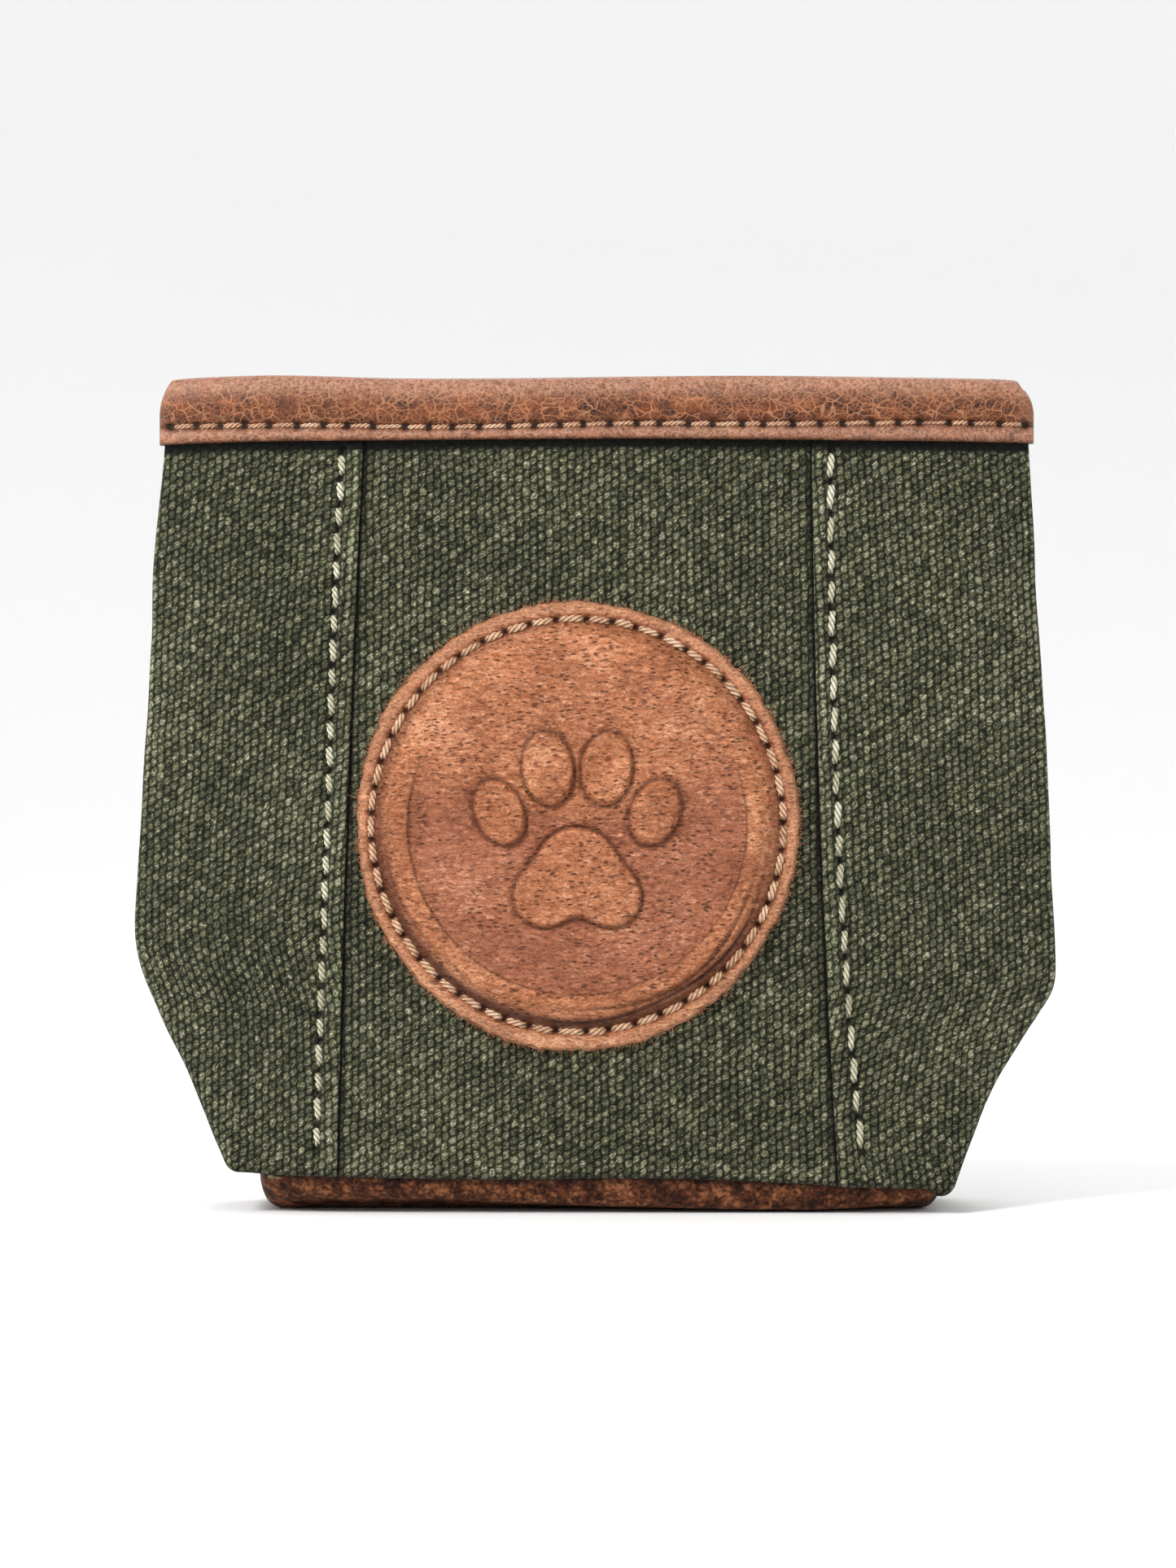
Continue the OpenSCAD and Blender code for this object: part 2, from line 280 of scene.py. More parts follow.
def turn_out(o, change=None):
    """Makes a change to a piece's mesh, if one is given, and turns all its faces outwards."""
    b = bmesh.new()
    b.from_mesh(o.data)
    if change:
        change(b)
    bmesh.ops.recalc_face_normals(b, faces=b.faces)
    b.to_mesh(o.data)
    b.free()
    o.data.shade_smooth()


def close_rings(o, rows, cols):
    """Caps the two smallest rings of a dish, and drops the wall that joined them."""
    def change(b):
        b.verts.ensure_lookup_table()
        rings = range(cols), range(rows * cols, rows * cols + cols)
        wall = [f for f in b.faces if all(v.index in rings[0] or v.index in rings[1] for v in f.verts)]
        bmesh.ops.delete(b, geom=wall, context="FACES_ONLY")
        for ring in rings:
            b.faces.new([b.verts[i] for i in ring])
        bmesh.ops.recalc_face_normals(b, faces=b.faces)
        bmesh.ops.triangulate(b, faces=[f for f in b.faces if len(f.verts) > 4])

    turn_out(o, change)


def share_of_back(p):
    """0 on the front body and 1 on the back one, changing from BLEND_X outwards, with a half at the fold."""
    x, y, z = p[:, 0], p[:, 1], p[:, 2]
    side = np.where(x < 0, LEFT, RIGHT)
    edge = half_width(side, z) - 1.7
    q = 0.5 * clamp((np.abs(x) - BLEND_X) / (edge - BLEND_X))
    return np.where(y < 0, q, 1 - q)


def join_halves(o):
    """Lays the mesh out flat along share_of_back, bakes the object's transform into it, then puts its points back; no
    blend between the bodies is set.
    """
    me = o.data
    co = np.zeros(len(me.vertices) * 3, np.float32)
    me.vertices.foreach_get("co", co)
    share = share_of_back(co.reshape(-1, 3) / MM)
    flat = np.zeros((len(share), 3), np.float32)
    flat[:, 0] = share
    me.vertices.foreach_set("co", flat.ravel())
    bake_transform(o)
    me.vertices.foreach_set("co", co)
    me.update()
    return o


# ---------------------------------------------------------------- materials

def linear(r, g, b):
    """An sRGB colour, 0 to 255, as the linear colour that a shader takes."""
    shares = (r / 255, g / 255, b / 255)
    return tuple(c / 12.92 if c <= 0.04045 else ((c + 0.055) / 1.055) ** 2.4 for c in shares)


class Paint:
    """One material, with short calls for its nodes."""

    def __init__(self, name, rough, **values):
        self.mat = bpy.data.materials.new(name)
        self.mat.use_nodes = True
        self.nt = self.mat.node_tree
        self.shader = self.nt.nodes["Principled BSDF"]
        self.shader.inputs["Roughness"].default_value = rough
        for key, v in values.items():
            self.shader.inputs[key].default_value = v

    def put(self, socket, value):
        if isinstance(value, bpy.types.NodeSocket):
            self.nt.links.new(value, socket)
        elif value is not None:
            socket.default_value = value

    def node(self, kind, **props):
        n = self.nt.nodes.new(kind)
        for key, v in props.items():
            setattr(n, key, v)
        return n

    def maths(self, op, a, b=None):
        n = self.node("ShaderNodeMath", operation=op)
        self.put(n.inputs[0], a)
        self.put(n.inputs[1], b)
        return n.outputs[0]

    def add(self, a, b):
        return self.maths("ADD", a, b)

    def less(self, a, b):
        return self.maths("SUBTRACT", a, b)

    def times(self, a, b):
        return self.maths("MULTIPLY", a, b)

    def vector(self, op, a, b=None):
        n = self.node("ShaderNodeVectorMath", operation=op)
        self.put(n.inputs[0], a)
        if op == "SCALE":
            self.put(n.inputs["Scale"], b)
        else:
            self.put(n.inputs[1], b)
        return n.outputs[0]

    def cloth(self):
        """The flat cloth's own coordinates, in millimetres."""
        return self.node("ShaderNodeUVMap", uv_map="cloth_mm").outputs["UV"]

    def place(self):
        """Object coordinates, in millimetres."""
        return self.vector("SCALE", self.node("ShaderNodeTexCoord").outputs["Object"], 1000.0)

    def split(self, v):
        n = self.node("ShaderNodeSeparateXYZ")
        self.put(n.inputs[0], v)
        return n.outputs

    def noise(self, v, scale, detail=2.0, rough=0.5, colour=False, distort=0.0):
        n = self.node("ShaderNodeTexNoise")
        self.put(n.inputs["Vector"], v)
        n.inputs["Scale"].default_value = scale
        n.inputs["Detail"].default_value = detail
        n.inputs["Roughness"].default_value = rough
        n.inputs["Distortion"].default_value = distort
        return n.outputs["Color" if colour else "Fac"]

    def cells(self, v, scale, feature="F1"):
        n = self.node("ShaderNodeTexVoronoi", feature=feature)
        self.put(n.inputs["Vector"], v)
        n.inputs["Scale"].default_value = scale
        return n.outputs["Distance"]

    def shaken(self, v, scale, amount, detail=1.0):
        """v moved by noise, by up to about amount."""
        n = self.vector("SUBTRACT", self.noise(v, scale, detail, colour=True), (0.5, 0.5, 0.5))
        return self.vector("ADD", v, self.vector("SCALE", n, amount * 2.0))

    def mapped(self, v, socket, value):
        n = self.node("ShaderNodeMapping")
        self.put(n.inputs["Vector"], v)
        n.inputs[socket].default_value = value
        return n.outputs[0]

    def stretched(self, v, x, y, z, slant=0.0):
        """v scaled, for grain that runs along the axis of the smallest scale, turned up by slant."""
        if slant:
            v = self.mapped(v, "Rotation", (0, 0, -slant))
        return self.mapped(v, "Scale", (x, y, z))

    def dice(self, x, y):
        """A random number for each pair of whole numbers."""
        n = self.node("ShaderNodeCombineXYZ")
        self.put(n.inputs[0], x)
        self.put(n.inputs[1], y)
        w = self.node("ShaderNodeTexWhiteNoise", noise_dimensions="2D")
        self.put(w.inputs["Vector"], n.outputs[0])
        return w.outputs["Value"]

    def ramp(self, fac, *stops):
        """A colour ramp. Each stop is its position and its sRGB colour, 0 to 255."""
        n = self.node("ShaderNodeValToRGB")
        self.put(n.inputs[0], fac)
        e = n.color_ramp.elements
        while len(e) < len(stops):
            e.new(0.5)
        for element, (at, *colour) in zip(e, stops):
            element.position = at
            element.color = (*linear(*colour), 1)
        return n.outputs[0]

    def between(self, v, low, high, to_low=0.0, to_high=1.0):
        n = self.node("ShaderNodeMapRange", interpolation_type="SMOOTHSTEP")
        self.put(n.inputs["Value"], v)
        for key, x in zip(("From Min", "From Max", "To Min", "To Max"), (low, high, to_low, to_high)):
            n.inputs[key].default_value = x
        return n.outputs["Result"]

    def mix(self, fac, a, b):
        """a passing to b, which is a socket or a linear colour, as fac goes from 0 to 1."""
        n = self.node("ShaderNodeMix", data_type="RGBA")
        self.put(n.inputs[0], fac)
        self.put(n.inputs[6], a)
        self.put(n.inputs[7], b if isinstance(b, bpy.types.NodeSocket) else (*b, 1))
        return n.outputs[2]

    def mark(self, name):
        return self.node("ShaderNodeAttribute", attribute_name=name).outputs["Fac"]

    def colour(self, c):
        self.put(self.shader.inputs["Base Color"], c)

    def rough(self, v):
        self.put(self.shader.inputs["Roughness"], v)

    def relief(self, *layers):
        """Bump layers, each (height in 0..1, depth in mm)."""
        normal = None
        for height, depth in layers:
            n = self.node("ShaderNodeBump")
            n.inputs["Distance"].default_value = depth * MM
            self.put(n.inputs["Height"], height)
            if normal is not None:
                self.put(n.inputs["Normal"], normal)
            normal = n.outputs[0]
        self.put(self.shader.inputs["Normal"], normal)


def canvas_paint():
    """Duck canvas in worn olive green.

    Its yarn bumps stand in columns 1.03 mm apart, every 1.25 mm up a column and half a step up in the next.
    """
    m = Paint("canvas", 0.92, **{"Specular IOR Level": 0.12, "Sheen Weight": 0.05, "Sheen Roughness": 0.6})
    flat = m.cloth()
    uv = m.shaken(m.shaken(flat, 0.16, 0.40), 1.0, 0.33, 2.5)
    x, y, _ = m.split(uv)
    column = m.maths("DIVIDE", x, 1.03)
    number = m.maths("FLOOR", column)
    u = m.less(m.maths("FRACT", column), 0.5)
    row = m.add(m.maths("DIVIDE", y, 1.25), m.times(m.maths("FLOORED_MODULO", number, 2.0), 0.5))
    row = m.less(row, m.times(u, 0.26))
    v = m.less(m.maths("FRACT", row), 0.5)
    reach = 0.0
    for part in (u, v):
        reach = m.add(m.maths("POWER", m.maths("ABSOLUTE", m.times(part, 2.0)), 2.3), reach)
    strand = m.noise(m.stretched(uv, 1.6, 4.6, 1.0, 0.62), 1.0, 2.5, 0.65)
    fibre = m.between(m.noise(m.stretched(flat, 1.9, 6.0, 1.0, 0.62), 1.0, 2.5, 0.8), 0.36, 0.66)
    yarn = m.between(m.add(reach, m.times(m.less(strand, 0.5), 2.6)), 0.30, 1.25, 1.0, 0.0)
    each = m.dice(number, m.maths("FLOOR", row))
    blend = m.noise(uv, 0.85, 1.0, 0.6)
    height = m.add(m.times(yarn, 0.8), m.times(strand, 0.35))
    broad = m.noise(flat, 0.035, 3.0, 0.55)
    # the gaps between the yarn bumps are painted darker, as shade
    tone = m.times(yarn, 0.40)
    for part, amount in ((strand, 0.70), (each, 0.20), (blend, 0.50), (broad, 0.32)):
        tone = m.add(tone, m.times(m.less(part, 0.5), amount))
    glint = m.times(m.less(fibre, 0.45), m.add(m.times(yarn, 0.46), 0.10))
    tone = m.add(m.add(tone, glint), m.times(m.mark("wear_and_sheen"), 0.14))
    colour = m.ramp(m.add(tone, 0.145), (0.10, 13, 14, 5), (0.34, 54, 55, 36), (0.55, 90, 92, 66),
                    (0.74, 138, 138, 108), (0.95, 206, 203, 174))
    m.colour(m.mix(m.mark("shade"), colour, linear(7, 7, 3)))
    m.relief((height, 0.34), (fibre, 0.14))
    return m.mat


def lining_paint():
    m = Paint("lining_cloth", 0.85, **{"Specular IOR Level": 0.15})
    uv = m.cloth()
    x, y, _ = m.split(m.shaken(uv, 0.5, 0.15))
    twill = m.maths("SINE", m.times(m.add(x, y), 2 * math.pi / 0.9))
    tone = m.add(m.times(twill, 0.18), m.noise(uv, 1.4, 3.0))
    m.colour(m.ramp(tone, (0.2, 92, 78, 58), (0.55, 134, 116, 90), (0.9, 166, 148, 120)))
    m.relief((twill, 0.08))
    return m.mat


def rim_paint():
    """Waxed pull-up leather: darker brown with a net of fine light cracks, lighter where it bends, and a painted
    sheen along its top.
    """
    m = Paint("rim_leather", 0.5, **{"Specular IOR Level": 0.26})
    p = m.shaken(m.place(), 0.6, 0.55, 2.0)
    net = m.cells(m.stretched(p, 0.75, 0.8, 1.0), 0.72, "DISTANCE_TO_EDGE")
    fine = m.cells(m.stretched(p, 0.8, 1.0, 1.25), 1.7, "DISTANCE_TO_EDGE")
    lines = m.times(m.between(net, 0.0, 0.075, 1.0, 0.0), m.between(m.noise(p, 0.22, 2.0), 0.32, 0.52))
    thin = m.times(m.between(fine, 0.0, 0.10, 0.75, 0.0), m.between(m.noise(p, 0.4, 2.0), 0.34, 0.56))
    blotch = m.noise(m.stretched(p, 0.7, 1.0, 1.2), 0.34, 4.0, 0.68)
    speck = m.noise(p, 2.2, 3.0, 0.75)
    tone = m.add(m.times(blotch, 0.85), m.times(speck, 0.55))
    colour = m.ramp(tone, (0.56, 38, 13, 3), (0.68, 84, 40, 17), (0.79, 112, 58, 27), (0.93, 144, 84, 48))
    light = m.maths("MAXIMUM", lines, thin)
    colour = m.mix(m.times(light, 0.72), colour, linear(184, 126, 88))
    # lighter where the leather bends, with a painted sheen along the rim's top
    colour = m.mix(m.times(m.mark("wear_and_sheen"), 0.8), colour,
                   m.ramp(speck, (0.34, 118, 70, 48), (0.6, 190, 145, 121)))
    m.colour(m.mix(m.mark("shade"), colour, linear(30, 10, 3)))
    m.rough(m.between(speck, 0.3, 0.7, 0.42, 0.6))
    m.relief((net, 0.12), (m.add(speck, fine), 0.10))
    return m.mat


def patch_paint():
    """Undyed orange-tan leather with rows of pores and fine wrinkles, both darkened with painted shade; the pressed
    recess is pinker.
    """
    m = Paint("patch_leather", 0.55, **{"Specular IOR Level": 0.32})
    p = m.shaken(m.place(), 0.35, 0.5, 2.0)
    grain = m.noise(m.stretched(p, 0.55, 0.8, 1.9), 1.1, 4.0, 0.68, distort=0.6)
    pores = m.cells(m.stretched(p, 0.66, 0.66, 1.9), 1.1)
    pits = m.times(m.between(pores, 0.13, 0.34, 1.0, 0.0), m.between(m.noise(p, 0.13, 2.0), 0.36, 0.54, 0.35, 1.0))
    wrinkle = m.cells(m.stretched(p, 0.55, 0.6, 1.0), 0.8, "DISTANCE_TO_EDGE")
    wrinkle_shade = m.times(m.between(wrinkle, 0.0, 0.14, 1.0, 0.0), m.between(m.noise(p, 0.10, 2.0), 0.42, 0.60))
    blotch = m.noise(p, 0.085, 5.0, 0.65)
    crumb = m.noise(m.stretched(p, 0.8, 1.0, 1.6), 2.6, 3.0, 0.75)
    tone = m.add(m.times(blotch, 0.45), m.times(grain, 0.65))
    tone = m.add(tone, m.times(crumb, 0.6))
    tan = m.ramp(tone, (0.58, 112, 54, 24), (0.78, 158, 93, 57), (0.91, 196, 127, 86), (1.0, 222, 162, 124))
    pink = m.ramp(tone, (0.58, 102, 48, 24), (0.78, 146, 85, 56), (0.92, 174, 108, 76), (1.0, 206, 148, 118))
    colour = m.mix(m.mark("recess"), tan, pink)
    # painted shade in the pores' pits
    colour = m.mix(m.times(pits, 0.78), colour, linear(74, 28, 8))
    # painted shade along the fine wrinkles
    colour = m.mix(m.times(wrinkle_shade, 0.42), colour, linear(98, 44, 20))
    colour = m.mix(m.times(m.mark("wear_and_sheen"), 0.42), colour, m.ramp(crumb, (0.34, 150, 96, 62), (0.62, 222, 172, 136)))
    m.colour(m.mix(m.mark("shade"), colour, linear(58, 20, 5)))
    m.rough(m.between(grain, 0.3, 0.7, 0.6, 0.4))
    m.relief((grain, 0.42), (m.less(1.0, pits), 0.26), (m.add(wrinkle, crumb), 0.24))
    return m.mat


def base_paint():
    """Dark reddish-brown pebbled leather with open pores; painted shade darkens the grooves between pebbles and the
    pores.
    """
    m = Paint("base_leather", 0.6, **{"Specular IOR Level": 0.14})
    p = m.shaken(m.place(), 0.7, 0.4, 2.0)
    pebble = m.cells(p, 0.95, "DISTANCE_TO_EDGE")
    pores = m.between(m.cells(p, 1.25), 0.16, 0.44, 1.0, 0.0)
    # painted shade darkens the grooves between the pebbles
    tone = m.add(m.noise(p, 0.42, 4.0, 0.72), m.between(pebble, 0.0, 0.3, -0.06, 0.05))
    colour = m.ramp(tone, (0.36, 40, 16, 6), (0.50, 88, 48, 26), (0.66, 142, 90, 58))
    # painted shade in the open pores
    colour = m.mix(m.times(pores, 0.6), colour, linear(28, 10, 4))
    m.colour(m.mix(m.mark("shade"), colour, linear(14, 5, 2)))
    m.relief((pebble, 0.22), (m.less(1.0, pores), 0.16))
    return m.mat


def thread_paint(name, dark, mid, light):
    """Twisted thread. Where the mark "warm" is 1, on leather, it is tanner."""
    m = Paint(name, 0.62, **{"Specular IOR Level": 0.3})
    p = m.place()
    tone = m.add(m.times(m.noise(p, 3.0, 3.0, 0.7), 0.6), m.times(m.noise(p, 0.2, 1.0), 0.4))
    colour = m.ramp(tone, (0.3, *dark), (0.52, *mid), (0.72, *light))
    colour = m.mix(m.mark("warm"), colour,
                   m.ramp(tone, (0.3, 126, 82, 54), (0.52, 206, 164, 130), (0.72, 240, 212, 184)))
    m.colour(m.mix(m.mark("shade"), colour, tuple(c * 0.10 for c in linear(*dark))))
    m.relief((m.noise(p, 9.0, 2.0), 0.05))
    return m.mat


def metal_paint():
    m = Paint("snap_metal", 0.3, Metallic=1.0)
    p = m.place()
    scratch = m.noise(m.stretched(p, 0.4, 0.4, 9.0), 1.0, 3.0)
    m.colour(m.ramp(m.noise(p, 0.4, 3.0), (0.3, 168, 142, 92), (0.7, 208, 184, 132)))
    m.rough(m.between(scratch, 0.3, 0.7, 0.22, 0.42))
    m.relief((scratch, 0.02))
    return m.mat


PAINTS = {
    "canvas": canvas_paint(), "lining_cloth": lining_paint(), "rim_leather": rim_paint(),
    "patch_leather": patch_paint(), "base_leather": base_paint(), "snap_metal": metal_paint(),
    "tan_thread": thread_paint("tan_thread", (112, 70, 46), (196, 152, 120), (236, 204, 176)),
    "cream_thread": thread_paint("cream_thread", (108, 102, 74), (196, 190, 162), (246, 242, 224)),
}


def dress(o, slot, *nodes, body=None):
    """Gives a piece its finish, hides the CAD nodes it stands for and attaches it to its body; with no body it goes
    to join_halves instead.
    """
    o.data.materials.append(PAINTS[slot])
    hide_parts(*nodes)
    if body:
        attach(o, body)
    else:
        join_halves(o)
    return o


# ---------------------------------------------------------------- canvas panels

def row_heights():
    """How far each row of a wall is above its lower edge: close together in the roll, then even."""
    roll = [ROLL_R * (1 - math.sin(a)) for a in np.linspace(math.pi / 2, 0.25, 7)]
    return np.array(roll + list(np.linspace(1.5, 105.6, 228)))


def real_height(x, up):
    """Height of a row that is up millimetres above the turned edge."""
    z = low_z(x)
    return z + up * (110.0 - z) / 106.0


def roll_in(x, z):
    """How far the lower edge has rolled inwards at height z."""
    t = clamp((low_z(x) + ROLL_R - z) / ROLL_R)
    return ROLL_R * (1 - np.sqrt(np.maximum(1 - t * t, 0)))


def inner_of(outer, thickness):
    return outer - normals(outer) * thickness


def centre_panel(half):
    """The canvas between the two seams. Its edges dip under the side panels' turned edges."""
    near = np.array([-0.5, 0.0, 0.25, 0.5, 0.8, 1.1, 1.5, 2.0, 2.6])
    t = np.linspace(0, 1, 74)[1:-1]
    up = row_heights()[:, None]
    left0, right0 = seam_x(LEFT, 50.0), seam_x(RIGHT, 50.0)
    x = np.concatenate([left0 + near, lerp(left0 + 3.2, right0 - 3.2, t), (right0 - near)[::-1]])[None, :]
    z = real_height(x, up)
    left, right = seam_x(LEFT, z), seam_x(RIGHT, z)
    k = (x - left0) / (right0 - left0)
    x = np.where(k < 0.1, x - left0 + left, np.where(k > 0.9, x - right0 + right,
                 lerp(left + 3.2, right - 3.2, (x - left0 - 3.2) / (right0 - left0 - 6.4))))
    s = np.minimum(x - left, right - x)
    depth = wall_depth(x, z) - 0.46 * bump(s + 0.2, 0.75) - roll_in(x, z)
    p = np.stack([x, half * depth, z], axis=-1)
    p[..., 1] += half * canvas_swell(p)
    if half == BACK:
        p = p[:, ::-1]
        s = s[:, ::-1]
    uv = np.stack([p[..., 0] + 0.006 * p[..., 2], p[..., 2]], axis=-1)
    shade = 0.85 * bump(s + 0.05, 0.48) + 0.32 * bump(s, 1.4)
    shade = edge_shade(shade, p[..., 0], p[..., 2], 0.6)
    wear_and_sheen = 0.5 * bump(p[..., 2] - low_z(p[..., 0]) - 1.6, 1.0)
    name = FACE_NAME[half]
    o = shell(f"{name}_canvas", p, inner_of(p, CANVAS_T), uv, {"shade": clamp(shade), "wear_and_sheen": wear_and_sheen})
    return dress(o, "canvas", f"{name}_panel", body=FACE_BODY[half])


def edge_shade(shade, x, z, at_base):
    """shade with the dark gap under the rim's edge, and up to at_base of it along the turned lower edge."""
    shade = np.maximum(shade, smooth((z - rim_low_z(x) + 1.75) / 0.5))
    return np.maximum(shade, at_base * smooth((low_z(x) + 1.2 - z) / 1.4))


def side_section(side, z):
    """Columns of a side panel's front half at heights z, one height a row.

    They are x, depth, distance outside the seam, thickness of cloth and outward angle.
    """
    xf, e, r, xa, da, a0 = section(side, z)
    seam = np.abs(seam_x(side, z))
    cols = []

    def add(*values):
        cols.append([np.broadcast_to(v, z.shape) for v in values])

    for a in np.linspace(math.radians(235), math.radians(100), 7):
        s, lift = 0.5 + 0.5 * math.cos(a), (0.5 * math.sin(a) + 0.05) * under_rim(z)
        add(seam + s, wall_depth(side * (seam + s), z) + lift, s, lift + LAP_T, 0.0)
    for s in np.concatenate([np.arange(0.6, 5.0, 0.25), np.linspace(5.3, 9.0, 8)]):
        lift = seam_ridge(s, side, z)
        thick = lift + LAP_T + 0.48 * smooth((s - 0.6) / 1.4)
        add(seam + s, wall_depth(side * (seam + s), z) + lift, s, thick, 0.0)
    for t in np.linspace(0, 1, 24)[1:]:
        x = lerp(seam + 9.0, xa, t)
        add(x, wall_depth(side * x, z), x - seam, CANVAS_T, a0 * t)
    for t in np.linspace(0, 1, 9)[1:]:
        a = lerp(a0, math.pi / 2, t)
        add(xf - r + r * np.sin(a), e - r + r * np.cos(a), FAR, CANVAS_T, a)
    for t in np.linspace(0, 1, 7)[1:]:
        add(xf, (e - r) * (1 - t), FAR, CANVAS_T, math.pi / 2)
    return [np.stack(c, 1) for c in zip(*cols)]


def side_panel(side):
    """One strip of canvas from the front seam, round the fold, to the back seam."""
    up = row_heights()
    edge_x = 0.5 * (half_width(side, 20.0) + abs(seam_x(side, 20.0)))
    first = side_section(side, real_height(side * np.full(len(up), edge_x), up))
    z = real_height(side * first[0], up[:, None])
    grids = [g.copy() for g in first]
    for k in range(z.shape[1]):  # again, at each column's own heights
        for grid, g in zip(grids, side_section(side, z[:, k])):
            grid[:, k] = g[:, k]
    x, d, s, thick, angle = grids
    fold = lambda g, sign: np.concatenate([g, sign * g[:, ::-1][:, 1:]], axis=1)
    p = np.stack([fold(side * x, 1), fold(-d, -1), fold(z, 1)], axis=-1)
    out = np.stack([fold(side * np.sin(angle), 1), fold(-np.cos(angle), -1), fold(0 * z, 1)], axis=-1)
    s, thick = fold(s, 1), fold(thick, 1)
    run = np.cumsum(np.linalg.norm(np.diff(p[..., :2], axis=1, prepend=p[:, :1, :2]), axis=-1), axis=1)
    run = side * (run - run[:, run.shape[1] // 2][:, None])
    near_seam = s < 20
    hole = np.where(near_seam, hole_dent(s, p[..., 2], side), 0)
    p = p + out * (canvas_swell(p) - 0.42 * hole - roll_in(p[..., 0], p[..., 2]))[..., None]
    inner = p - out * thick[..., None]
    lean = -0.02 * side
    z = p[..., 2]
    uv = np.stack([run + 200 + lean * z, z - lean * run], axis=-1)
    shade = np.where(near_seam, 0.8 * (1 - smooth((thick - 0.05) / 0.35)) + 0.95 * hole, 0)
    shade = edge_shade(shade, p[..., 0], z, 0.5)
    worn = np.where(near_seam, 0.8 * bump(s - 0.8, 0.6), 0) + 0.5 * (s > 50) * smooth((8 - end_half(z)) / 6)
    if side == LEFT:
        p, inner, uv, shade, worn = (g[:, ::-1] for g in (p, inner, uv, shade, worn))
    name = SIDE_NAME[side]
    o = shell(f"side_canvas_{name}", p, inner, uv, {"shade": clamp(shade), "wear_and_sheen": clamp(worn)})
    return dress(o, "canvas", f"side_panel_{name}_front", f"side_panel_{name}_back")


# ---------------------------------------------------------------- leather rim

def rim_line(n):
    """Points (x, depth) along the canvas at the rim, from the left fold to the right, and outward normals."""
    z = RIM_Z + 1
    pts = []
    for side in (LEFT, RIGHT):
        xf, e, r, xa, da, a0 = (float(v) for v in section(side, z))
        angles = np.linspace(math.pi / 2, a0, 10)
        arc = [(side * (xf - r + r * math.sin(a)), e - r + r * math.cos(a)) for a in angles]
        pts.append((arc, xa))
    inner = np.linspace(-pts[0][1], pts[1][1], n)[1:-1]
    line = np.array(pts[0][0] + [(x, float(wall_depth(x, z))) for x in inner] + pts[1][0][::-1])
    tangent = unit(np.gradient(line, axis=0))
    return line, np.stack([-tangent[:, 1], tangent[:, 0]], axis=1)


def rim_stitch_z(x):
    return 107.95 + 0.25 * np.sin(x / 21.0) + 0.12 * np.sin(x / 7.3 + 1)


def rim_low_z(x):
    return 105.8 + 0.35 * bump(x - 5, 30) - 0.35 * bump(x + 62, 12) - 0.1 * bump(x - 60, 10)


def rim_top_z(x):
    return 114.35 + 0.5 * bump(x + 44, 12) + 0.45 * bump(x - 20, 26) - 0.5 * bump(np.abs(x) - 61.5, 3.0)


def rim_holes():
    jitter = np.random.default_rng(5).uniform(-0.42, 0.42, 34)
    return np.linspace(-58.8, 59.6, 34) + jitter


def rim_profile():
    """The binding's section as (offset out from the canvas, height: low edge 0, stitches 1, top 2)."""
    out = [(0.02, 0.04), (0.30, -0.06), (0.72, -0.02), (1.02, 0.16), (1.12, 0.40), (1.02, 0.66), (0.78, 0.84),
           (0.42, 0.95), (0.34, 1.0), (0.46, 1.04), (0.86, 1.12), (1.12, 1.22), (1.26, 1.36), (1.30, 1.50),
           (1.24, 1.64), (1.06, 1.77), (0.72, 1.88), (0.22, 1.96), (-0.45, 2.0), (-1.15, 1.985), (-1.80, 1.92),
           (-2.30, 1.80), (-2.60, 1.64), (-2.68, 1.40), (-2.68, 1.0), (-2.68, 0.5), (-2.66, 0.15), (-2.5, 0.02),
           (-2.0, 0.02), (-1.8, 0.15)]
    back = [(-1.78, 0.6), (-1.78, 1.3), (-1.5, 1.62), (-0.85, 1.74), (-0.2, 1.64), (0.03, 1.3), (0.05, 0.9),
            (0.04, 0.4)]
    return np.array(out + back)


def dense_profile(points, steps):
    """A closed smooth line through the points (Catmull-Rom)."""
    n = len(points)
    rows = []
    for i in range(n):
        a, b, c, d = (points[(i + k) % n] for k in (-1, 0, 1, 2))
        for t in np.linspace(0, 1, steps, endpoint=False):
            bend, twist = 2 * a - 5 * b + 4 * c - d, 3 * b - a - 3 * c + d
            rows.append(0.5 * (2 * b + (c - a) * t + bend * t * t + twist * t ** 3))
    return np.array(rows)


def rim_heights(x, h):
    low, mid, top = rim_low_z(x), rim_stitch_z(x), rim_top_z(x)
    return np.where(h < 1, lerp(low, mid, h), lerp(mid, top, h - 1))


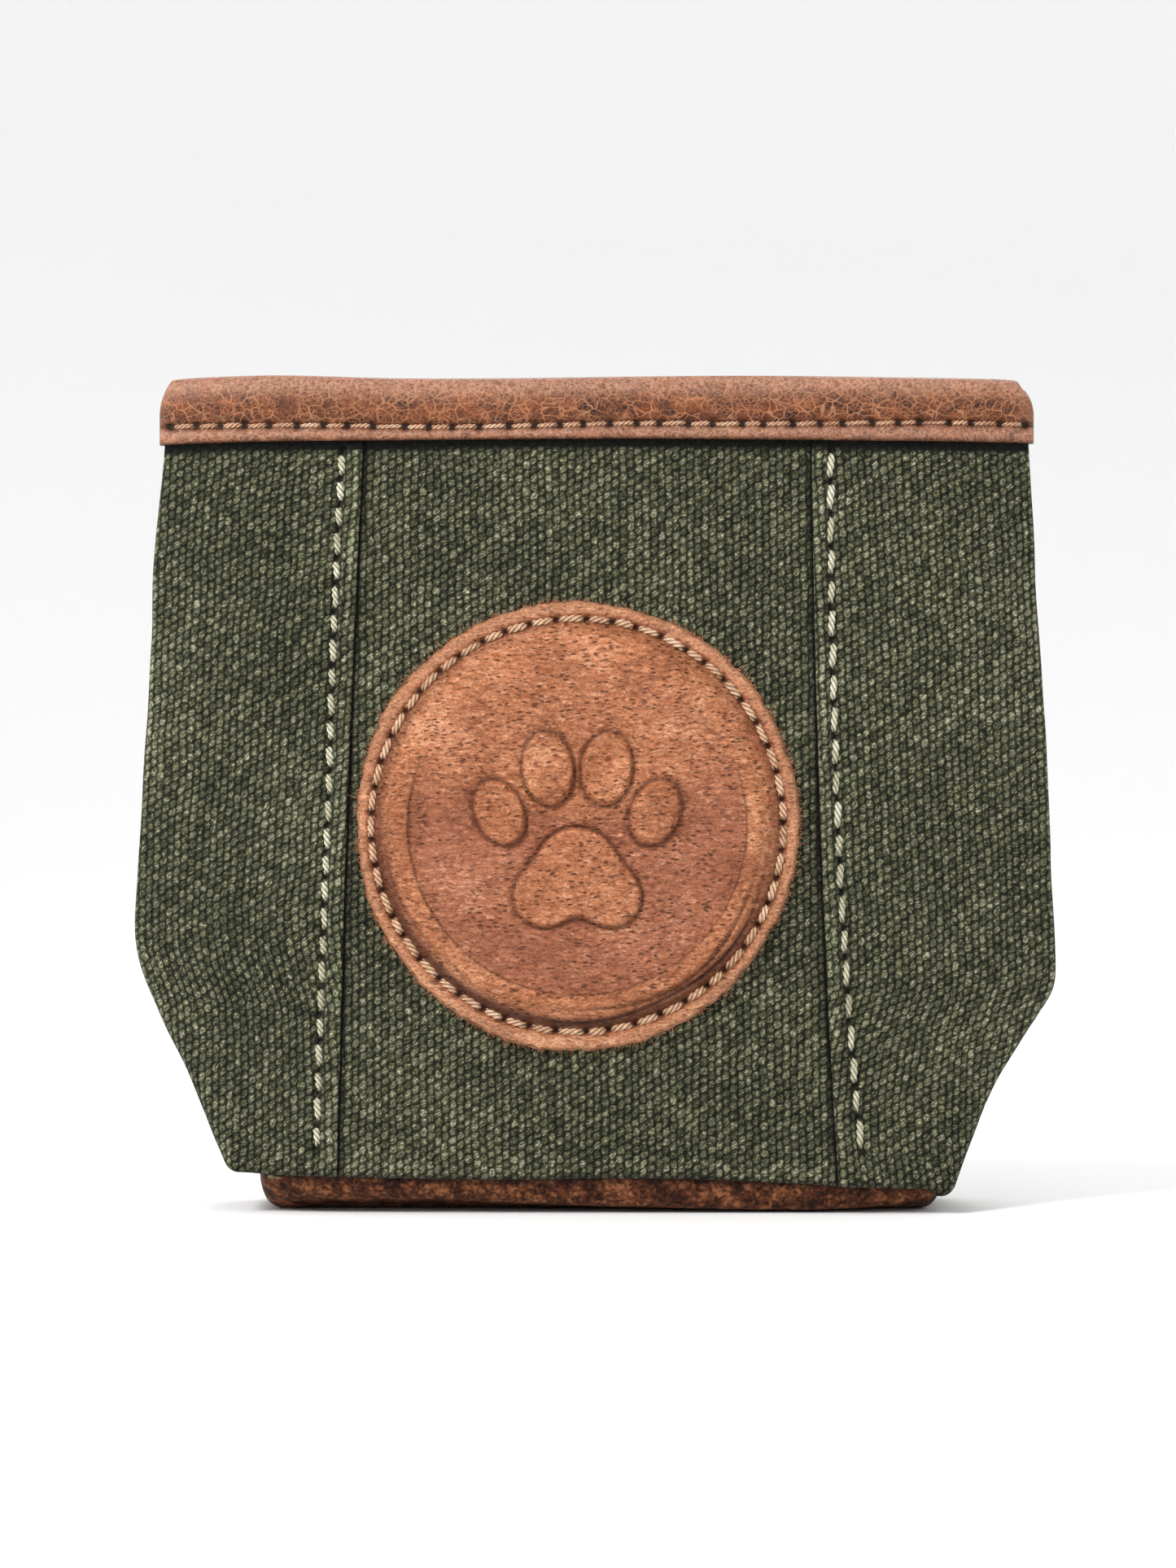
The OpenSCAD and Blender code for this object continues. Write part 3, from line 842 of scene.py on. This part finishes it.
def rim_binding(half):
    """The leather folded over the mouth's edge, with a groove under its stitches and a soft lip below them."""
    line, out = rim_line(300)
    prof = dense_profile(rim_profile(), 3)
    x0, d0 = line[None, :, 0], line[None, :, 1]
    off, h = prof[:, None, 0], prof[:, None, 1]
    end = np.abs(out[None, :, 0]) ** 2
    held = np.maximum(off, -0.6)
    x = x0 + out[None, :, 0] * lerp(held, np.where(off > 0.2, 0.75, held), end)
    d = d0 + out[None, :, 1] * off
    d = np.maximum(d, np.where(off < -0.5, 0.17, 0.0))
    ends = np.abs(x0) > 59
    d = np.where(ends & (off > -0.5), np.maximum(d, 0.0), d)
    z = rim_heights(x, h)
    corner = smooth((np.abs(x) - 57.5) / 3.6)
    z = np.where(h > 1, z - corner ** 2 * 0.9 * (h - 1) ** 2, z)
    x = x - np.sign(x) * np.where(h > 1.2, (h - 1.2) ** 2 * 2.0, 0) * smooth((np.abs(x) - 58) / 3)
    holes = np.min(np.abs(x[..., None] - rim_holes()), axis=-1)
    at_stitch = bump(z - rim_stitch_z(x), 0.55) * (off > -0.2)
    hole = np.exp(-(holes / 0.5) ** 2) * at_stitch
    pull = (0.35 * np.exp(-(holes / 0.9) ** 2) * bump(z - rim_stitch_z(x), 1.3)) * (off > -0.2)
    p = np.stack([x, half * d, z], axis=-1)
    over_seams = bump(x + 33.4, 2.6) + bump(x - 31.6, 2.6)
    lump = 0.16 * waves(p, 17, 21) + 0.06 * waves(p, 5, 22) + 0.16 * over_seams * (h < 1)
    grow = np.where(off > 0.15, lump - 0.5 * hole - pull, 0) * (1 - 0.8 * end)
    p[..., 1] += half * grow
    shade = clamp(0.9 * hole + 0.5 * at_stitch + 0.6 * smooth((0.16 - h) / 0.26) * (off > -0.2))
    # lighter over the lip's bulge and the folded ends, where the leather bends, with a painted sheen along the top
    # fold
    wear_and_sheen = 0.75 * bump(h - 0.45, 0.42) * (off > 0.5) + 0.85 * bump(h - 1.86, 0.27)
    wear_and_sheen = wear_and_sheen + 0.25 * smooth((np.abs(x) - 57) / 4)
    if half == BACK:
        p, shade, wear_and_sheen = p[:, ::-1], shade[:, ::-1], wear_and_sheen[:, ::-1]
    name = FACE_NAME[half]
    o = tube_of_rows(f"rim_leather_{name}", p, {"shade": shade, "wear_and_sheen": clamp(wear_and_sheen)})
    return dress(o, "rim_leather", f"rim_binding_{name}")


def tube_of_rows(name, p, marks):
    """A closed solid with capped ends. Each row of points runs along it, and the rows go round its section."""
    rows, cols = p.shape[:2]
    idx = np.arange(rows * cols).reshape(rows, cols)
    nxt = np.roll(idx, -1, axis=0)
    quads = quads_of(idx[:, :-1], idx[:, 1:], nxt[:, 1:], nxt[:, :-1]).tolist()
    ends = []
    points = p.reshape(-1, 3)
    extra, values = [], {k: list(v.ravel()) for k, v in marks.items()}
    for col, turn in ((0, 1), (cols - 1, -1)):
        ring = idx[:, col]
        centre = len(points) + len(extra)
        extra.append(points[ring].mean(0))
        for k in values:
            values[k].append(0.0)
        for i in range(rows):
            a, b = int(ring[i]), int(ring[(i + 1) % rows])
            ends.append([a, b, centre][::turn])
    points = np.concatenate([points, extra])
    return make_mesh(name, points, quads + ends, None, values)


# ---------------------------------------------------------------- stitches

def thread_run(name, stitches, slot, nodes, body=None, thick=0.8, seed=1, warm=0.0):
    """Stitches of three-strand thread, each (start, end, outward), that dive into a hole at both ends."""
    r = np.random.default_rng(seed)
    around, along = 21, 19
    t = np.linspace(0, 1, along)
    th = np.linspace(0, 2 * math.pi, around, endpoint=False)
    points, faces, shades = [], [], []
    for a, b, out in stitches:
        a, b, out = (np.asarray(v, float) for v in (a, b, out))
        length = np.linalg.norm(b - a)
        d = (b - a) / length
        out = unit(out - d * (out @ d))
        across = np.cross(d, out)
        lift = 0.28 * thick * np.sin(math.pi * t) ** 0.5 - 1.0 * thick * (np.abs(2 * t - 1) ** 6)
        wobble = 0.08 * thick * np.sin(math.pi * t) * r.uniform(-1, 1)
        path = a + d * (length * t)[:, None] + out * lift[:, None] + across * wobble[:, None]
        radius = 0.5 * thick * (0.86 + 0.14 * np.sin(math.pi * t)) * r.uniform(0.92, 1.08)
        twist = 2 * math.pi * length * t / (3.3 * thick / 0.9) + r.uniform(0, 6)
        lobes = 1 + 0.27 * np.cos(3 * (th[None, :] - twist[:, None]))
        ring = path[:, None] + radius[:, None, None] * lobes[..., None] * (
            np.cos(th)[None, :, None] * across + 0.8 * np.sin(th)[None, :, None] * out)
        base = len(points)
        points.extend(ring.reshape(-1, 3))
        dip = clamp((0.96 - lobes) / 0.18) * 0.75 + 0.5 * (np.abs(2 * t - 1) ** 6)[:, None]
        shades.extend(clamp(dip).ravel())
        for i in range(along - 1):
            for j in range(around):
                k = (j + 1) % around
                low, high = base + i * around, base + (i + 1) * around
                faces.append([low + j, high + j, high + k, low + k])
        faces.append([base + j for j in range(around)])
        faces.append([base + (along - 1) * around + j for j in range(around)][::-1])
    o = make_mesh(name, points, faces, None, {"shade": shades, "warm": np.full(len(points), warm)})
    return dress(o, slot, *nodes, body=body)


def seam_stitches(side, half):
    holes = needle_holes(side)
    runs = []
    for a, b in zip(holes[:-1], holes[1:]):
        ends = []
        for z in (a + 0.42, b - 0.42):
            lean = 0.22 * (1 if z > 0.5 * (a + b) else -1)
            s = float(stitch_offset(side, z)) + lean
            x = float(seam_x(side, z) + side * s)
            p = np.array([x, half * float(wall_depth(x, z) + seam_ridge(s, side, z)), z])
            p[1] += half * float(canvas_swell(p[None])[0])
            ends.append(p)
        runs.append((ends[0], ends[1], (0, half, 0.08)))
    name = f"{FACE_NAME[half]}_{SIDE_NAME[side]}"
    return thread_run(f"seam_thread_{name}", runs, "cream_thread", [f"seam_stitching_{name}"],
                      seed=30 + side + 3 * half)


def rim_stitches(half):
    line, out = rim_line(300)
    holes = rim_holes()
    runs = []

    def place(x):
        k = int(np.argmin(np.abs(line[:, 0] - x)))
        d = line[k, 1] + out[k, 1] * 0.34
        return np.array([x, half * d, float(rim_stitch_z(x))]), np.array([out[k, 0], half * out[k, 1], 0])

    for a, b in zip(holes[:-1], holes[1:]):
        p, n = place(a + 0.3)
        q, _ = place(b - 0.3)
        p[2], q[2] = p[2] - 0.11, q[2] + 0.11
        runs.append((p, q, n))
    name = FACE_NAME[half]
    return thread_run(f"rim_thread_{name}", runs, "tan_thread", [f"rim_stitching_{name}"], thick=0.60, seed=60 + half)


# ---------------------------------------------------------------- round patch

PATCH_RINGS, PATCH_SPOKES = 118, 410
RECESS_R, STITCH_R = 23.2, 28.2


def patch_edge(a):
    """The hand-cut edge's distance from the centre."""
    parts = ((0.16, 3, 0.6), (0.10, 7, 2), (0.07, 13, 0), (0.06, 29, 1), (0.06, 53, 0), (0.05, 83, 2))
    wobble = sum(size * np.sin(count * a + phase) for size, count, phase in parts)
    return 30.3 + 0.35 * np.sin(a) ** 2 + wobble


def paw(x, z):
    """How far inside a generic paw print the point is, in millimetres; negative outside."""
    toes = [(-10.6, 2.2, 3.3, 4.6, 0.42), (-4.0, 8.2, 3.5, 5.0, 0.12),
            (4.0, 8.2, 3.5, 5.0, -0.12), (10.6, 2.2, 3.3, 4.6, -0.42)]
    best = np.full_like(x, -FAR)
    for cx, cz, rx, rz, tilt in toes:
        u, w = x - cx, z - cz
        u, w = u * math.cos(tilt) + w * math.sin(tilt), -u * math.sin(tilt) + w * math.cos(tilt)
        best = np.maximum(best, (1 - np.sqrt((u / rx) ** 2 + (w / rz) ** 2)) * rx)
    pads = [(0, -5.4, 5.6), (-4.6, -9.2, 4.1), (4.6, -9.2, 4.1)]
    pad = np.full_like(x, -FAR)
    for cx, cz, r in pads:
        pad = soft_max(pad, r - np.hypot(x - cx, z - cz), 1.1)
    return np.maximum(best, pad)


def turn_from(a, b):
    """The turn from angle b to angle a, between minus pi and pi."""
    return np.angle(np.exp(1j * (a - b)))


def patch_height(r, a):
    """The patch's face above the canvas, its recess and its shaded creases, at radius r and angle a."""
    x, z = r * np.cos(a), r * np.sin(a)
    edge = patch_edge(a)
    h = 1.25 + 0.15 * smooth((edge - r) / 1.6)
    h = h - 0.9 * (1 - smooth((edge - r) / 0.55)) ** 2
    inside = smooth((STITCH_R - 0.5 - r) / 3.4)
    puff = 2.9 + 0.25 * waves(np.stack([x, z, 0 * x], -1), 14, 41) - 0.35 * smooth((22 - r) / 22)
    h = h + (puff - 1.4) * inside ** 0.8
    low = smooth((0.55 - np.sin(a)) / 0.5)
    step = smooth((RECESS_R - r) / 0.55) * low
    recess = smooth((RECESS_R + 0.1 - r) / 0.8) * lerp(0.25, 1.0, low)
    h = h - 0.42 * step - 0.12 * smooth((RECESS_R - r) / 5)
    h = h - 0.16 * bump(r - RECESS_R + 0.25, 0.28) * low
    d = paw(x, z + 0.6)
    print_up = smooth((d + 0.1) / 0.5)
    h = h + 0.85 * print_up - 0.3 * bump(d + 0.2, 0.3)
    side = bump(turn_from(a, -0.95), 0.75)
    creases = side * (bump(r - 25.5 - 0.35 * np.sin(5 * a), 0.26) + 0.9 * bump(r - 26.6 - 0.22 * np.sin(7 * a), 0.24))
    creases += 0.6 * bump(turn_from(a, 3.6), 0.5) * bump(r - 26.0 - 0.3 * np.sin(6 * a), 0.25)
    h = h - 0.42 * creases
    groove = bump(r - STITCH_R + 0.1, 0.7)
    h = h - 0.45 * groove
    shade = 0.72 * creases + 0.30 * groove + 0.75 * bump(r - RECESS_R + 0.1, 0.16) * low + 0.7 * bump(d + 0.14, 0.2)
    shade += (0.18 + 0.68 * (0.5 - 0.5 * np.sin(a + 0.4)) ** 1.4) * bump(r - 27.1, 0.8)
    return h, clamp(recess * (1 - 0.85 * print_up)), shade


def patch_holes():
    n = 49
    jitter = np.random.default_rng(9).uniform(-0.012, 0.012, n)
    return np.linspace(0, 2 * math.pi, n, endpoint=False) + jitter


def on_front(x, z):
    """The canvas's front face under the patch, with its swells."""
    p = np.stack([x, -wall_depth(x, z), z], axis=-1)
    return p[..., 1] - canvas_swell(p)


def round_patch():
    ring = 1 - (1 - np.linspace(0, 1, PATCH_RINGS)) ** 1.25
    a = np.linspace(0, 2 * math.pi, PATCH_SPOKES, endpoint=False)
    rr, aa = np.meshgrid(np.maximum(ring, 0.002), a, indexing="ij")
    r = rr * patch_edge(aa)
    h, recess, shade = patch_height(r, aa)
    gap = np.abs(turn_from(aa[..., None], patch_holes()))
    near = np.min(gap, axis=-1) * STITCH_R
    hole = np.exp(-(near / 0.5) ** 2) * bump(r - STITCH_R, 0.5)
    pull = np.exp(-(near / 1.1) ** 2) * bump(r - STITCH_R, 1.5)
    h = h - 0.55 * hole - 0.22 * pull
    x, z = PATCH_X + r * np.cos(aa), PATCH_Z + r * np.sin(aa)
    under = on_front(x, z)
    fine = np.stack([x * 0.5, z * 1.8, 0 * x], -1)
    h = h + 0.05 * waves(fine, 3.2, 43) * smooth((STITCH_R - r) / 2) + 0.03 * waves(fine, 1.3, 44)
    top = np.stack([x, under - 0.15 - h, z], axis=-1)
    low = np.stack([x, under - 0.12, z], axis=-1)
    marks = {"shade": clamp(shade + 0.85 * hole), "recess": recess, "wear_and_sheen": smooth((r - STITCH_R - 0.5) / 0.6)}
    o = shell("round_patch", top[::-1], low[::-1], None, {k: v[::-1] for k, v in marks.items()}, loop=True)
    # the innermost ring's points lie almost on each other
    turn_out(o, lambda b: bmesh.ops.remove_doubles(b, verts=b.verts, dist=0.00002))
    return dress(o, "patch_leather", "patch", body="front")


def patch_fibres():
    """Short loose fibres of leather round the patch's cut edge, each a thin bent spike."""
    r = np.random.default_rng(17)
    points, faces = [], []
    for a in r.uniform(0, 2 * math.pi, 760):
        length = r.uniform(0.35, 0.95) + (r.random() < 0.06) * r.uniform(0.4, 1.0)
        start = float(patch_edge(a)) - 0.15
        turn = a + r.uniform(-0.9, 0.9)
        lift = r.uniform(0.15, 1.1)
        x0, z0 = PATCH_X + start * math.cos(a), PATCH_Z + start * math.sin(a)
        y0 = float(on_front(x0, z0)) - lift
        d = np.array([math.cos(turn), r.uniform(-0.3, 0.25), math.sin(turn)])
        bend = r.normal(size=3) * 0.25
        side = unit(np.cross(d, [0, 1, 0])) * 0.07
        rise = np.array([0, -0.06, 0])
        base = len(points)
        for t, w in ((0, 1.0), (0.5, 0.8), (1.0, 0.15)):
            c = np.array([x0, y0, z0]) + d * length * t + bend * length * t * t
            points.extend([c + side * w, c - 0.5 * side * w + rise * w, c - 0.5 * side * w - rise * w])
        for k in (0, 3):
            for j in range(3):
                i = (j + 1) % 3
                faces.append([base + k + j, base + k + i, base + k + 3 + i, base + k + 3 + j])
        faces += [[base + 2, base + 1, base], [base + 6, base + 7, base + 8]]
    none = np.zeros(len(points))
    o = make_mesh("patch_fibres", points, faces, None, {"shade": none, "recess": none, "wear_and_sheen": none + 1})
    turn_out(o)
    o.data.materials.append(PAINTS["patch_leather"])
    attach(o, "front")


def patch_stitches():
    holes = patch_holes()
    runs = []
    for k in range(len(holes)):
        a, b = holes[k], holes[(k + 1) % len(holes)] + (2 * math.pi if k == len(holes) - 1 else 0)
        ends = []
        for t in (a + 0.011, b - 0.011):
            h = float(patch_height(STITCH_R, t)[0])
            x, z = PATCH_X + STITCH_R * math.cos(t), PATCH_Z + STITCH_R * math.sin(t)
            ends.append([x, float(on_front(x, z)) - 0.15 - h, z])
        runs.append((ends[0], ends[1], (0, -1, 0.12)))
    return thread_run("patch_thread", runs, "cream_thread", ["patch_stitching"], body="front", seed=90, warm=1.0)


# ---------------------------------------------------------------- base, lining, belt loop, snap

BASE_X, BASE_W, BASE_D = 1.0, 44.2, 11.2  # the base's middle, and half its width and depth on the floor
BELLY = 0.62  # of a half turn, how far its sides curl


def base_under(x, y):
    """Height of the base's underside: on the floor along its middle, curling up at the front and back."""
    front_lift = 2.3 - 1.9 * smooth((x + 46) / 72) + 1.2 * smooth((x - 30) / 19)
    return front_lift * smooth((np.abs(y) - 3) / 10) * np.where(y < 0, 1.0, 0.7)


def base_leather():
    """The base as a shallow leather dish: flat below, with soft sides that belly out a little under the canvas."""
    n_round, n_up = 260, 14
    t = np.linspace(0, 2 * math.pi, n_round, endpoint=False)
    power = 7.0
    cx = np.sign(np.cos(t)) * np.abs(np.cos(t)) ** (2 / power)
    cy = np.sign(np.sin(t)) * np.abs(np.sin(t)) ** (2 / power)
    rows, marks = [], []
    for k in range(n_up):
        f = k / (n_up - 1)
        a = f * math.pi * BELLY
        swell = math.sin(a)
        x, y = BASE_X + cx * (BASE_W + 2.7 * swell), cy * (BASE_D + 2.1 * swell)
        foot = base_under(x, y)
        height = 0.05 + foot + (6.4 - foot) * (1 - math.cos(a)) / (1 - math.cos(math.pi * BELLY))
        rows.append(np.stack([x, y, height], -1))
        marks.append(0.85 * smooth((height - low_z(x) + 0.9) / 1.2))
    for f in (0.92, 0.8, 0.6, 0.35, 0.12):
        x, y = BASE_X + cx * BASE_W * f, cy * BASE_D * f
        rows.insert(0, np.stack([x, y, 0.02 + base_under(x, y)], -1))
        marks.insert(0, np.zeros(n_round))
    outer = np.array(rows)
    outer[..., 2] += 0.15 * waves(outer, 11, 71) * smooth((outer[..., 2] - 0.4) / 1.5)
    shrink = np.array([1 - 1.4 / 47.0, 1 - 1.4 / 13.3, 1.0])
    inner = outer * shrink
    inner[..., 2] = np.minimum(inner[..., 2] + 1.3, 6.3)
    shade = np.array(marks)[:, ::-1]
    o = shell("base_leather", outer[:, ::-1], inner[:, ::-1], None, {"shade": shade}, loop=True)
    close_rings(o, len(rows), n_round)
    return dress(o, "base_leather", "base_panel", body="bag")


def lining(half):
    """The front or back lining, a little loose on the canvas."""
    x = np.linspace(-1, 1, 90)[None, :]
    z = np.linspace(6.0, 109.6, 84)[:, None]
    short = lerp(0.26, 0.10, smooth((z - 20) / 25))
    left = lerp(half_width(LEFT, z), np.abs(seam_x(LEFT, z)), short)
    right = lerp(half_width(RIGHT, z), np.abs(seam_x(RIGHT, z)), short)
    x = np.where(x < 0, x * left, x * right)
    p = np.stack([x, half * np.maximum(wall_depth(x, z) - 1.42, 0.36), z + 0 * x], -1)
    snap = smooth((np.hypot(p[..., 0] - SNAP_X, p[..., 2] - SNAP_Z) - 8) / 8)
    calm = smooth((104 - p[..., 2]) / 8) * snap
    p[..., 1] += half * (np.minimum(canvas_swell(p), 0.0) + (0.12 * waves(p, 16, 51) - 0.12)) * calm
    if half == BACK:
        p = p[:, ::-1]
    uv = np.stack([p[..., 0], p[..., 2]], -1)
    name = FACE_NAME[half]
    o = shell(f"lining_cloth_{name}", p, inner_of(p, LINING_T), uv)
    return dress(o, "lining_cloth", f"lining_{name}")


def base_lining():
    """The cloth on the floor of the pouch, slightly puckered."""
    x, y = np.meshgrid(np.linspace(-44.5, 45.5, 70), np.linspace(-11.6, 11.6, 26))
    p = np.stack([x, y, 2.2 + 0 * x], -1)
    turned_up = 0.8 * smooth((np.abs(y) - 9.4) / 2.2), 0.8 * smooth((np.abs(x) - 42) / 2.4)
    p[..., 2] += 0.14 * waves(p, 12, 52) + turned_up[0] + turned_up[1]
    p[..., 2] += base_under(x, y) * 0.7
    low = p - [0, 0, LINING_T]
    o = shell("base_cloth", p, low, np.stack([x, y], -1))
    return dress(o, "lining_cloth", "base_lining", body="bag")


LOOP_LOW, LOOP_TOP, LOOP_W, LOOP_T = 20.0, 98.0, 36.0, 2.2


def loop_lift(z):
    """How far the strap's inner face stands off the back."""
    return 0.2 + 7.0 * smooth((z - LOOP_LOW - 8.8) / 13.5) * smooth((LOOP_TOP - 8.8 - z) / 13.5)


def belt_loop():
    """The leather strap on the back, sewn at both ends, its edges rounded and darkened a little with painted shade.
    """
    z = np.linspace(LOOP_LOW, LOOP_TOP, 170)
    edge = np.array([0.94, 0.965, 0.985, 0.995, 1.0])
    cross = np.concatenate([-edge[::-1], np.linspace(-0.9, 0.9, 35), edge])
    zz, cc = np.meshgrid(z, cross, indexing="ij")
    half_w = LOOP_W / 2 - 0.25 * smooth(np.minimum(zz - LOOP_LOW - 10, LOOP_TOP - 10 - zz) / 10)
    x = SNAP_X + cc * half_w
    end = np.minimum(zz - LOOP_LOW, LOOP_TOP - zz)
    swell = canvas_swell(np.stack([x, 12 + 0 * x, zz], -1))
    inner_y = wall_depth(SNAP_X + 0 * x, zz) + loop_lift(zz) + 0.25 * swell * bump(loop_lift(zz), 1.5)
    side_in = (1 - np.abs(cc)) * half_w
    edge = 0.55 * (1 - smooth(side_in / 0.9)) ** 2 + 0.5 * (1 - smooth(end / 0.9)) ** 2
    thick = LOOP_T - edge + 0.05 * waves(np.stack([x, 0 * x, zz], -1), 9, 61)
    groove = np.zeros_like(x)
    for zr in stitch_rows():
        groove = np.maximum(groove, bump(zz - zr, 0.55) * smooth(side_in / 2.4))
    thick = thick - 0.32 * groove
    slope = np.gradient(inner_y[:, 20], z)[:, None]
    lean = np.sqrt(1 + slope ** 2)
    outer = np.stack([x, inner_y + thick / lean, zz - slope * thick / lean], -1)
    lower = np.stack([x, inner_y, zz], -1)
    shade = clamp(0.45 * groove + 0.5 * (1 - smooth(side_in / 0.7)) + 0.5 * (1 - smooth(end / 0.7)))
    wear_and_sheen = 0.5 * bump(side_in - 1.2, 0.7) + 0.3 * bump(end - 1.2, 0.7)
    flip = lambda g: g[:, ::-1]
    o = shell("belt_strap", flip(outer), flip(lower), None, {"shade": flip(shade), "wear_and_sheen": flip(wear_and_sheen)})
    return dress(o, "rim_leather", "belt_loop", body="bag")


def stitch_rows():
    return (LOOP_LOW + 2.5, LOOP_LOW + 8, LOOP_TOP - 8, LOOP_TOP - 2.5)


def loop_stitches():
    runs = []
    for z in stitch_rows():
        xs = np.linspace(-14.6, 14.6, 10) + SNAP_X
        y = float(wall_depth(SNAP_X, z)) + 0.2 + LOOP_T - 0.3
        for a, b in zip(xs[:-1], xs[1:]):
            runs.append(((a + 0.2, y, z), (b - 0.2, y, z), (0, 1, 0.1)))
    return thread_run("belt_strap_thread", runs, "tan_thread", ["belt_loop_stitching"], body="bag", seed=120)


def turned(name, profile, body, node, y0, sign):
    """A round metal piece turned from a profile of (radius, height), about the snap's axis along Y."""
    n = 64
    t = np.linspace(0, 2 * math.pi, n, endpoint=False)
    prof = np.array(profile)
    r, h = prof[:, 0][:, None], prof[:, 1][:, None]
    p = np.stack([SNAP_X + r * np.cos(t), y0 + sign * (h + 0 * t), SNAP_Z + r * np.sin(t)], -1)
    idx = np.arange(len(prof) * n).reshape(len(prof), n)
    nxt = np.roll(idx, -1, axis=1)
    quads = quads_of(idx[:-1], nxt[:-1], nxt[1:], idx[1:]).tolist()
    caps = [idx[0, ::-1].tolist(), idx[-1].tolist()]
    o = make_mesh(name, p.reshape(-1, 3), quads + caps)
    turn_out(o)
    return dress(o, "snap_metal", node, body=body)


def snaps():
    """The two halves of the magnetic snap: a cup with a hole in its face, and a disc with a post."""
    rim = [(6.4, 1.98), (6.75, 1.9), (6.95, 1.65), (7.0, 1.2), (6.95, 0.45), (6.7, 0.16), (6.3, 0.04), (5.6, 0.02)]
    cup = [(0.4, 1.98), *rim, (5.3, 0.14), (4.9, 0.2), (3.2, 0.2), (2.9, 0.1), (2.55, 0.06), (2.42, 0.2),
           (2.4, 0.5), (2.4, 1.55), (2.2, 1.6), (0.4, 1.6)]
    turned("snap_cup", cup, "front", "snap_socket", -0.15, FRONT)
    disc = [(0.3, 1.98), *rim, (5.2, 0.16), (4.6, 0.2), (2.4, 0.18), (1.9, 0.05), (1.6, -0.2), (1.58, -1.2),
            (1.45, -1.42), (1.1, -1.5), (0.3, -1.5)]
    turned("snap_disc", disc, "bag", "snap_stud", 0.15, BACK)
    washer = [(1.5, 0.0), (5.7, 0.0), (5.95, 0.06), (6.0, 0.15), (5.95, 0.24), (5.7, 0.3),
              (1.5, 0.3), (1.45, 0.15), (1.5, 0.0)]
    for half, node in ((FRONT, "snap_socket_washer"), (BACK, "snap_stud_washer")):
        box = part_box(node)
        y0 = min(abs(box[0][1]), abs(box[1][1])) / MM
        name = node.replace("socket", "cup").replace("stud", "disc")
        turned(name, washer, FACE_BODY[half], node, half * y0, half)


# ---------------------------------------------------------------- stage

def plain(name, colour, rough):
    m = Paint(name, rough, **{"Specular IOR Level": 0.2})
    m.shader.inputs["Base Color"].default_value = (*colour, 1)
    return m.mat


def floor_and_wall():
    """A pale round floor that curves up into a pale wall all the way round."""
    t = np.linspace(0, math.pi / 2, 14)
    flat, bend = 1500, 700  # radius of the flat floor, and of the curve up to the wall
    curve = [(flat + bend * math.sin(a), bend - bend * math.cos(a)) for a in t[1:]]
    profile = [(1, 0), (400, 0), (flat, 0), *curve, (flat + bend, 1500)]
    n = 72
    th = np.linspace(0, 2 * math.pi, n, endpoint=False)
    pts = [(r * math.cos(a), r * math.sin(a), z) for r, z in profile for a in th]
    faces = [list(range(n))]
    for k in range(len(profile) - 1):
        for j in range(n):
            i = (j + 1) % n
            faces.append([k * n + j, (k + 1) * n + j, (k + 1) * n + i, k * n + i])
    o = make_mesh("studio_floor", pts, faces)
    turn_out(o)
    o.data.materials.append(plain("studio_white", (0.93, 0.93, 0.93), 0.9))


def light(name, place, aim, size, power):
    data = bpy.data.lights.new(name, "AREA")
    data.shape = "SQUARE"
    data.size, data.energy = size, power
    o = bpy.data.objects.new(name, data)
    bpy.context.collection.objects.link(o)
    o.location = place
    d = np.array(aim, float) - np.array(place, float)
    o.rotation_euler = Vector(d).to_track_quat("-Z", "Y").to_euler()


def stage_light():
    world = bpy.data.worlds.new("studio")
    bpy.context.scene.world = world
    world.use_nodes = True
    world.node_tree.nodes["Background"].inputs[0].default_value = (1, 1, 1, 1)
    world.node_tree.nodes["Background"].inputs[1].default_value = 0.8
    light("key", (-0.56, -0.6, 0.76), (0, 0, 0.06), 0.32, 9.4)
    light("fill", (0.9, -0.9, 0.5), (0, 0, 0.05), 0.9, 1.2)
    light("back", (0.2, 0.95, 1.2), (0, 0.1, 0.05), 0.9, 8.0)


def camera():
    cam = bpy.data.cameras.new("camera")
    o = bpy.data.objects.new("camera", cam)
    bpy.context.collection.objects.link(o)
    distance, seen, sensor = 0.65, 0.2174, 36  # metres to the middle plane, height seen there, mm
    o.location = (-0.00085, -distance, 0.0584)
    o.rotation_euler = (math.pi / 2, 0, 0)
    cam.sensor_width = sensor
    cam.lens = sensor * distance / seen
    cam.clip_start, cam.clip_end = 0.01, 20
    bpy.context.scene.camera = o


# ---------------------------------------------------------------- build

camera()
stage_light()
floor_and_wall()
for face in (FRONT, BACK):
    centre_panel(face)
    rim_binding(face)
    rim_stitches(face)
    lining(face)
    for flank in (LEFT, RIGHT):
        seam_stitches(flank, face)
for flank in (LEFT, RIGHT):
    side_panel(flank)
round_patch()
patch_fibres()
patch_stitches()
base_leather()
base_lining()
belt_loop()
loop_stitches()
snaps()
bpy.context.scene.view_settings.view_transform = "Standard"
